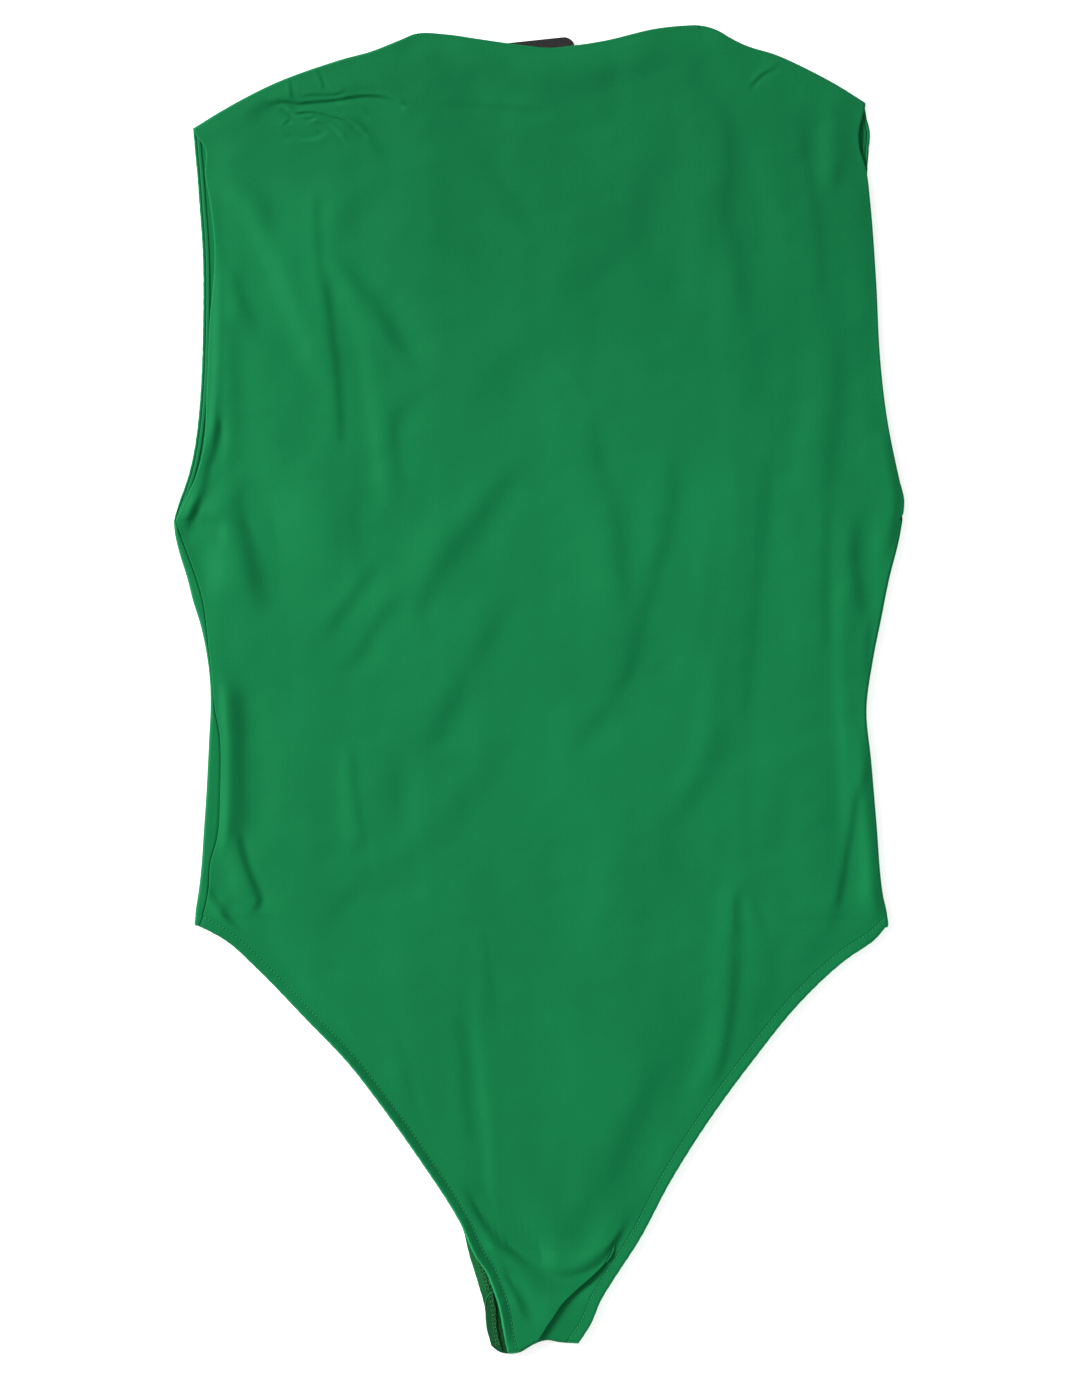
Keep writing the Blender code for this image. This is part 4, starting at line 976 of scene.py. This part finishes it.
# the crotch piece, which turns up round the lower edge; clear is how far its sides stay from the
# hems' inner edges at the seat seam and at the crotch, where a minus runs under them
gussetGrid = {"columns": 30, "rows": 18, "rollSteps": 7, "clear": (-0.15, -0.1), "gap": 0.15, "thinner": 0.04}


def makeGusset():
    columns, rows, steps = gussetGrid["columns"], gussetGrid["rows"], gussetGrid["rollSteps"]
    share = np.linspace(0, 1, columns + 1)
    whole = np.zeros((rows + 1 + steps, columns + 1, 3))
    for j in range(rows + 1):
        depth = laid["legHem"] + mix(*gussetGrid["clear"], (j / rows) ** 2)
        level = mix(laid["seatSeam"] + gussetGrid["gap"], laid["bottom"] + roll, j / rows)
        left, right = legInset("backLeft", level, depth), legInset("backRight", level, depth)
        x, y = mix(left[0], right[0], share), settledRow(left, right, share)
        whole[j] = np.stack([x, y if j < rows else lowEdge(x) + roll, 0 * x], axis=1)
    for n in range(1, steps + 1):
        aside, up = turnedUp(n / steps)
        whole[rows + n] = whole[rows] + (0.0, -aside, up)
    return whole


# the crotch piece in its painted shade
gusset = shell("crotch_piece", makeGusset(), laid["wall"] - gussetGrid["thinner"], shadedInsideJersey)
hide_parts("crotch_gusset")

# turned hems: a closed section carried along the edge; each row is depth from the edge and height
hemSection = np.array([
    (6.5, -0.14), (6.1, -0.12), (5.5, -0.12), (4.9, 0.0), (3.2, 0.05), (1.8, 0.0), (1.2, -0.06),
    (0.75, -0.2), (0.35, -0.44), (0.1, -0.72), (0.0, -0.95), (0.15, -1.2), (0.5, -1.34), (1.0, -1.4),
    (6.5, -1.4),
])
armSection = np.array([
    (3.6, -0.05), (0.9, 0.0), (0.4, -0.14), (0.1, -0.4), (0.0, -0.7), (0.12, -1.02), (0.45, -1.3),
    (0.9, -1.42), (1.4, -1.36), (1.75, -0.92), (2.1, -1.3), (2.7, -1.4), (3.6, -1.36),
])
# how far hems pucker across and up, over what depth that rise grows, and three waves along them
hemPucker = {"across": 0.10, "up": 0.09, "upOver": 3, "pitches": (5.3, 8.7, 2.35),
             "shares": (0.45, 0.4, 0.3)}
# how the front's leg hems curl up: the left one to a crest, the right one towards its edge; each
# start and end is a level and the distance over which the curl grows or fades
hemCurl = {
    "crest": 1.7, "crestFrom": (-160, 60), "crestTo": (-378, 12), "depths": (0, 1.2, 5.6),
    "rise": (0.7, 1, 0), "slope": 0.17, "slopeFrom": (-140, 15), "within": 3.6,
}
hemGrid = {
    "pitch": 1.3, "turnSteps": 6, "armRows": 170, "armGap": 0.15,
    "middle": 3.0,          # the depth along which a hem's length is measured
    "topSide": -0.7,        # the section's points above this are its top side
    "low": -330,            # below this level it is rounded to the crotch's lower edge
}


def pucker(along, phase):
    turn = 2 * math.pi * along
    return sum(share * np.sin(turn / pitch + phase * k)
               for share, pitch, k in zip(hemPucker["shares"], hemPucker["pitches"], (1, 2, 0)))


def sweep(name, rings, material):
    # joins closed rings of equal size and caps both ends
    rings = np.array(rings)
    count, size = rings.shape[:2]
    key = np.arange(count * size).reshape(count, size)
    nxt = np.roll(key, -1, axis=1)
    faces = np.stack([key[:-1], nxt[:-1], nxt[1:], key[1:]], axis=-1).reshape(-1, 4).tolist()
    faces += [key[0, ::-1].tolist(), key[-1].tolist()]
    made = addMesh(name, rings.reshape(-1, 3), faces, material, 60)
    mesh = bmesh.new()
    mesh.from_mesh(made.data)
    bmesh.ops.recalc_face_normals(mesh, faces=mesh.faces)
    mesh.to_mesh(made.data)
    mesh.free()
    return made


def hemLevels(line, pitch=hemGrid["pitch"]):
    # levels evenly spaced along a leg's edge, from the crotch up
    levels = np.linspace(laid["bottom"], legLines[line][0][0, 0] - 0.01, 900)
    along = alongHem(line, levels)
    return np.interp(np.arange(0, along[-1], pitch), along, levels)


def frontEdgeHeight(line, y):
    # the height of the front along its left or right edge
    column = frontPoints[:, 0 if line == "frontLeft" else allColumns - 1]
    column = column[~np.isnan(column[:, 0])]
    return np.interp(y, column[:, 1], column[:, 2]) + hemFall * edgeRadius


def alongHem(line, levels):
    # the length of a leg's hem up to each level
    steps = np.hypot(*np.diff(legInset(line, levels, hemGrid["middle"]), axis=1))
    return np.concatenate([[0], np.cumsum(steps)])


def makeHem(name, line, material):
    inward, upper = legLines[line][2], line.startswith("front")
    hip = legLines[line][0][0, 0]
    levels = np.append(hemLevels(line), hip)
    angles = np.zeros((len(levels), len(hemSection)))
    along = alongHem(line, levels)
    # round the side fold at the hip
    if line == "backLeft":
        turns = np.transpose([foldAngles(turnedAngle(hip + depth)) for depth in hemSection[:, 0]])
    else:
        steps = hemGrid["turnSteps"]
        turns = np.repeat(quarter * np.arange(1, steps + 1)[:, None] / steps, len(hemSection), axis=1)
    if line != "frontLeft":
        levels = np.append(levels, np.full(len(turns), hip))
        along = np.append(along, along[-1] + turns[:, 0] * roll)
        angles = np.vstack([angles, turns])
    depths, lower = hemSection[None, :, 0], hemSection[None, :, 1]
    wave, level, width = pucker(along, len(name))[:, None], levels[:, None], laid["legHem"]
    x, y = legInset(line, level, depths + hemPucker["across"] * wave * (1 - depths / width))
    inner = np.clip(np.minimum(depths, width - depths), 0, hemPucker["upOver"]) / hemPucker["upOver"]
    rise = lower + hemPucker["up"] * wave * (lower > hemGrid["topSide"]) * inner
    inLow = np.where(level < hemGrid["low"], np.clip((roll - (y - lowEdge(x))) / roll, 0, 1), 0.0)
    if upper:
        top = frontEdgeHeight(line, legInset(line, levels, inset)[1])[:, None]
        rise = rise + curled(line, y, depths)
        z = roll + (top + rise - roll) * np.sqrt(1 - inLow**2) * np.cos(angles)
        x = x - inward * (top + rise - roll) * np.sin(angles)
    else:
        lift, turn = np.minimum(rise, 0.0), np.minimum(angles, math.pi)
        beyond = np.maximum(angles - math.pi, 0) * roll
        z = roll - (roll + lift) * np.cos(turn)
        x = x - inward * ((roll + lift) * np.sin(turn) - beyond)
        z = roll + (z - roll) * np.sqrt(1 - inLow**2)
    made = sweep(name, np.stack(np.broadcast_arrays(x, y, z), axis=-1), material)
    return made


def curled(line, y, depths):
    # how far a front leg's hem curls up at its edge
    if line == "frontLeft":
        (start, over), (end, endOver) = hemCurl["crestFrom"], hemCurl["crestTo"]
        amount = ease((start - y) / over) * ease((y - end) / endOver)
        return amount * hemCurl["crest"] * np.interp(depths, hemCurl["depths"], hemCurl["rise"])
    start, over = hemCurl["slopeFrom"]
    return ease((start - y) / over) * hemCurl["slope"] * np.maximum(hemCurl["within"] - depths, 0.0)


for line, node in (("frontLeft", "front_leg_hem_left"), ("frontRight", "front_leg_hem_right"),
                   ("backLeft", "back_leg_hem_left"), ("backRight", "back_leg_hem_right")):
    makeHem(line + "LegHem", line, turnedBackShade if line == "backLeft" else hemJersey)
    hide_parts(node)
print("leg hems made")


def makeArmHem(name, rows, inward):
    tip = tipLevel(rows, 2, inward * laid["armHem"])
    levels = np.linspace(laid["underarm"] - hemGrid["armGap"], tip, hemGrid["armRows"])
    rings = []
    for level in levels:
        edge, width = smooth(rows, level, 2), armHem(level)
        wave = pucker(level, 1.0 + inward)
        depths, lower = armSection[:, 0] * width / laid["armHem"], armSection[:, 1]
        outward = hemPucker["across"] * wave * (1 - depths / width)
        x = edge + inward * (depths - outward)
        rings.append(np.stack([x, np.full_like(depths, level), -lower], axis=1))
    # the left hem in the hem jersey, the right one in painted shade
    made = sweep(name, rings, hemJersey if inward > 0 else armShadeJersey)
    return made


makeArmHem("backArmHemLeft", leftArmhole, 1)
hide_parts("back_arm_hem_left")
makeArmHem("backArmHemRight", rightArmhole, -1)
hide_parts("back_arm_hem_right")
print("armhole hems made")

# stitches: short rounded threads laid one after another along a line
stitch = {
    "pitch": 2.3, "long": 1.3, "wide": 0.8, "high": 0.4, "sides": 6, "depth": 5.5, "sunk": 0.04,
    "stray": 0.06,
    "ahead": 0.4,           # how far on along the line its direction is taken
    "pathPitch": 0.9,       # between the line's points, the first few of which are left out
    "start": 3,
}
# place along the stitch and thickness there
stitchSection = np.array([(-0.5, 0.25), (-0.42, 0.75), (-0.2, 1.0), (0.2, 1.0), (0.42, 0.75), (0.5, 0.25)])


def stitches(name, path):
    # path holds points on the cloth; a stitch lies along it at each step
    steps = np.linalg.norm(np.diff(path, axis=0), axis=1)
    along, pitch = np.concatenate([[0], np.cumsum(steps)]), stitch["pitch"]
    at = np.arange(pitch / 2, along[-1] - pitch / 2, pitch)
    centre = np.stack([np.interp(at, along, column) for column in path.T], axis=1)
    ahead = np.stack([np.interp(at + stitch["ahead"], along, column) for column in path.T], axis=1) - centre
    ahead /= np.linalg.norm(ahead, axis=1, keepdims=True)
    side = np.cross(ahead, (0, 0, 1.0))
    side /= np.linalg.norm(side, axis=1, keepdims=True)
    up = np.cross(side, ahead)
    rings, sides = len(stitchSection), stitch["sides"]
    turn = 2 * math.pi * np.arange(sides) / sides
    aside = stitch["wide"] * stitchSection[:, 1:] * np.cos(turn) / 2
    above = stitch["high"] * stitchSection[:, 1:] * np.sin(turn) / 2
    centre = centre + side * randomly.uniform(-stitch["stray"], stitch["stray"], (len(centre), 1))
    place = stitch["long"] * stitchSection[:, :1]
    points = (centre[:, None, None] + ahead[:, None, None] * place[None, ..., None]
              + side[:, None, None] * aside[None, ..., None] + up[:, None, None] * above[None, ..., None])
    key = np.arange(len(centre) * rings * sides).reshape(-1, rings, sides)
    nxt = np.roll(key, -1, axis=2)
    around = np.stack([key[:, :-1], nxt[:, :-1], nxt[:, 1:], key[:, 1:]], axis=-1).reshape(len(key), -1, 4)
    faces = []
    for quads, ring in zip(around.tolist(), key.tolist()):
        faces += quads + [ring[0][::-1], ring[-1]]
    made = addMesh(name, points.reshape(-1, 3), faces, thread, 80)
    return made


def hemPath(line):
    # where a hem's stitches run, on the outer side of its cloth
    levels = hemLevels(line, stitch["pathPitch"])[stitch["start"]:]
    x, y = legInset(line, levels, stitch["depth"])
    if line.startswith("front"):
        z = frontEdgeHeight(line, legInset(line, levels, inset)[1]) - stitch["sunk"]
    else:
        z = np.full_like(x, stitch["high"] / 2)
    return np.stack([x, y, z], axis=1)


seams = {line: stitches(line + "Stitches", hemPath(line))
         for line in ("frontLeft", "frontRight", "backLeft", "backRight")}
print("stitches made")

# loose loops of the hem's seam, on its inner side where the crotch opens
loops = {
    "pitch": 2.3, "perLoop": 14, "radius": 1.0, "spread": 0.2, "spreadTurn": 0.37, "taller": 1.15,
    "height": 1.62, "wave": 0.16, "phase": 1.7, "thread": 0.2,
    # depth from the edge, lowest and highest level
    "rows": [(4.9, -373.5, -351.0), (4.4, -347.0, -320.0), (6.2, -346.0, -332.0)],
    "seam": [(-25.8, -346.4), (-28.2, -347.6), (-29.7, -349.2), (-30.4, -351.2), (-30.7, -354.0)],
    "seamHeight": 1.5, "seamThread": 0.26,
}


def tube(name, points, radius, material):
    curve = bpy.data.curves.new(name, "CURVE")
    curve.dimensions = "3D"
    curve.bevel_depth = radius * mm
    curve.bevel_resolution = 1
    curve.use_fill_caps = True
    line3d = curve.splines.new("POLY")
    line3d.points.add(len(points) - 1)
    for point, place in zip(line3d.points, placed(points)):
        point.co = (*place, 1.0)
    curve.materials.append(material)
    made = linked(name, curve)
    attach(made, "root")
    return made


def loopRow(number, depth, low, high):
    levels = np.linspace(low, high, 300)
    along, path = alongHem("backLeft", levels), legInset("backLeft", levels, depth)
    at = np.arange(0, along[-1], loops["pitch"] / loops["perLoop"])
    x, y = (np.interp(at, along, path[k]) for k in range(2))
    turn = 2 * math.pi * at / loops["pitch"] + loops["phase"] * number
    reach = loops["radius"] * (1 + loops["spread"] * np.sin(turn * loops["spreadTurn"]))
    points = np.stack([x + reach * np.cos(turn), y + reach * loops["taller"] * np.sin(turn),
                       loops["height"] + loops["wave"] * np.sin(turn * 2)], axis=1)
    return tube("seamLoops%d" % number, points, loops["thread"], loopThread)


loopRows = [loopRow(k, *row) for k, row in enumerate(loops["rows"])]
seamPoints = [(x, y, loops["seamHeight"]) for x, y in loops["seam"]]
seamLine = tube("crotchSeam", seamPoints, loops["seamThread"], thread)

# the bare woven label at the inside of the back neck
label = {"wide": 43.0, "high": 20.5, "thick": 0.55, "corner": 6.0, "tilt": 6.0, "drop": 0.9,
         "wave": 0.12, "waveTurn": 3.1, "wavePhase": 0.6, "columns": 44, "rows": 20}
labelLow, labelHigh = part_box("neck_label")


def makeLabel():
    centre = [value / mm for value in (Vector(labelLow) + Vector(labelHigh)) / 2]
    tilt, corner = math.radians(label["tilt"]), label["corner"]
    points = []
    for j in range(label["rows"] + 1):
        v = j / label["rows"] * 2 - 1
        for i in range(label["columns"] + 1):
            u = i / label["columns"] * 2 - 1
            x, y = u * label["wide"] / 2, v * label["high"] / 2
            # corners rounded by drawing the outermost points in
            cx = max(abs(x) - label["wide"] / 2 + corner, 0)
            cy = max(abs(y) - label["high"] / 2 + corner, 0)
            size = math.hypot(cx, cy)
            if size > corner:
                x -= math.copysign(cx - cx * corner / size, x)
                y -= math.copysign(cy - cy * corner / size, y)
            z = label["wave"] * math.sin(label["waveTurn"] * u + label["wavePhase"]) * v
            points.append((x * math.cos(tilt) - y * math.sin(tilt) + centre[0],
                           x * math.sin(tilt) + y * math.cos(tilt) + centre[1] + laid["middle"]
                           - label["drop"], z + centre[2] + label["thick"] / 2))
    return np.array(points).reshape(label["rows"] + 1, label["columns"] + 1, 3)


labelLook = {
    "dark": rgb(9, 8, 9), "light": rgb(32, 29, 30), "patchScale": 60.0, "fibreScale": 1500.0,
    "patchTone": 0.4, "fibreTone": 0.7, "wale": 0.0004, "course": 0.00024, "fuzz": 0.4,
    "bump": 0.35, "depth": 0.00012, "rough": 0.5, "sheen": 0.1, "sheenRough": 0.4,
    "sheenTint": rgb(120, 120, 125), "gloss": 0.4,
}
tag = shell("neckLabel", makeLabel(), label["thick"], cloth("woven_label", labelLook))
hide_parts("neck_label")
print("label made")
# floor and soft light, with the key low on the left
room = {
    "reach": 30, "under": 0.0002, "white": (1.0, 1.0, 1.0, 1.0), "world": 0.40,
    "paper": {"Base Color": (0.93, 0.93, 0.93, 1.0), "Roughness": 0.9, "Specular IOR Level": 0.1,
              "Emission Color": (1.0, 1.0, 1.0, 1.0), "Emission Strength": 0.62},
    "key": 560.0, "keyPlace": (-5.0, 2.2, 2.9), "keySize": 2.2,
}
floorData = bpy.data.meshes.new("floor")
corners = [(x * room["reach"], y * room["reach"], 0) for x, y in ((-1, -1), (1, -1), (1, 1), (-1, 1))]
floorData.from_pydata(corners, [], [(0, 1, 2, 3)])
floor = linked("floor", floorData)
floor.location.z = cadBox[0].z - room["under"]
paper = bpy.data.materials.new("white_paper")
paper.use_nodes = True
for socket, value in room["paper"].items():
    paper.node_tree.nodes["Principled BSDF"].inputs[socket].default_value = value
floorData.materials.append(paper)

world = bpy.data.worlds.new("soft_white")
world.use_nodes = True
backdrop = world.node_tree.nodes["Background"]
backdrop.inputs["Color"].default_value = room["white"]
backdrop.inputs["Strength"].default_value = room["world"]
bpy.context.scene.world = world
lampData = bpy.data.lights.new("key", "AREA")
lampData.shape = "DISK"
lampData.size, lampData.energy = room["keySize"], room["key"]
lamp = linked("key", lampData)
lamp.location = room["keyPlace"]
lamp.rotation_euler = (-lamp.location).to_track_quat("-Z", "Y").to_euler()
bpy.context.scene.view_settings.view_transform = "Standard"
print("floor and light set")
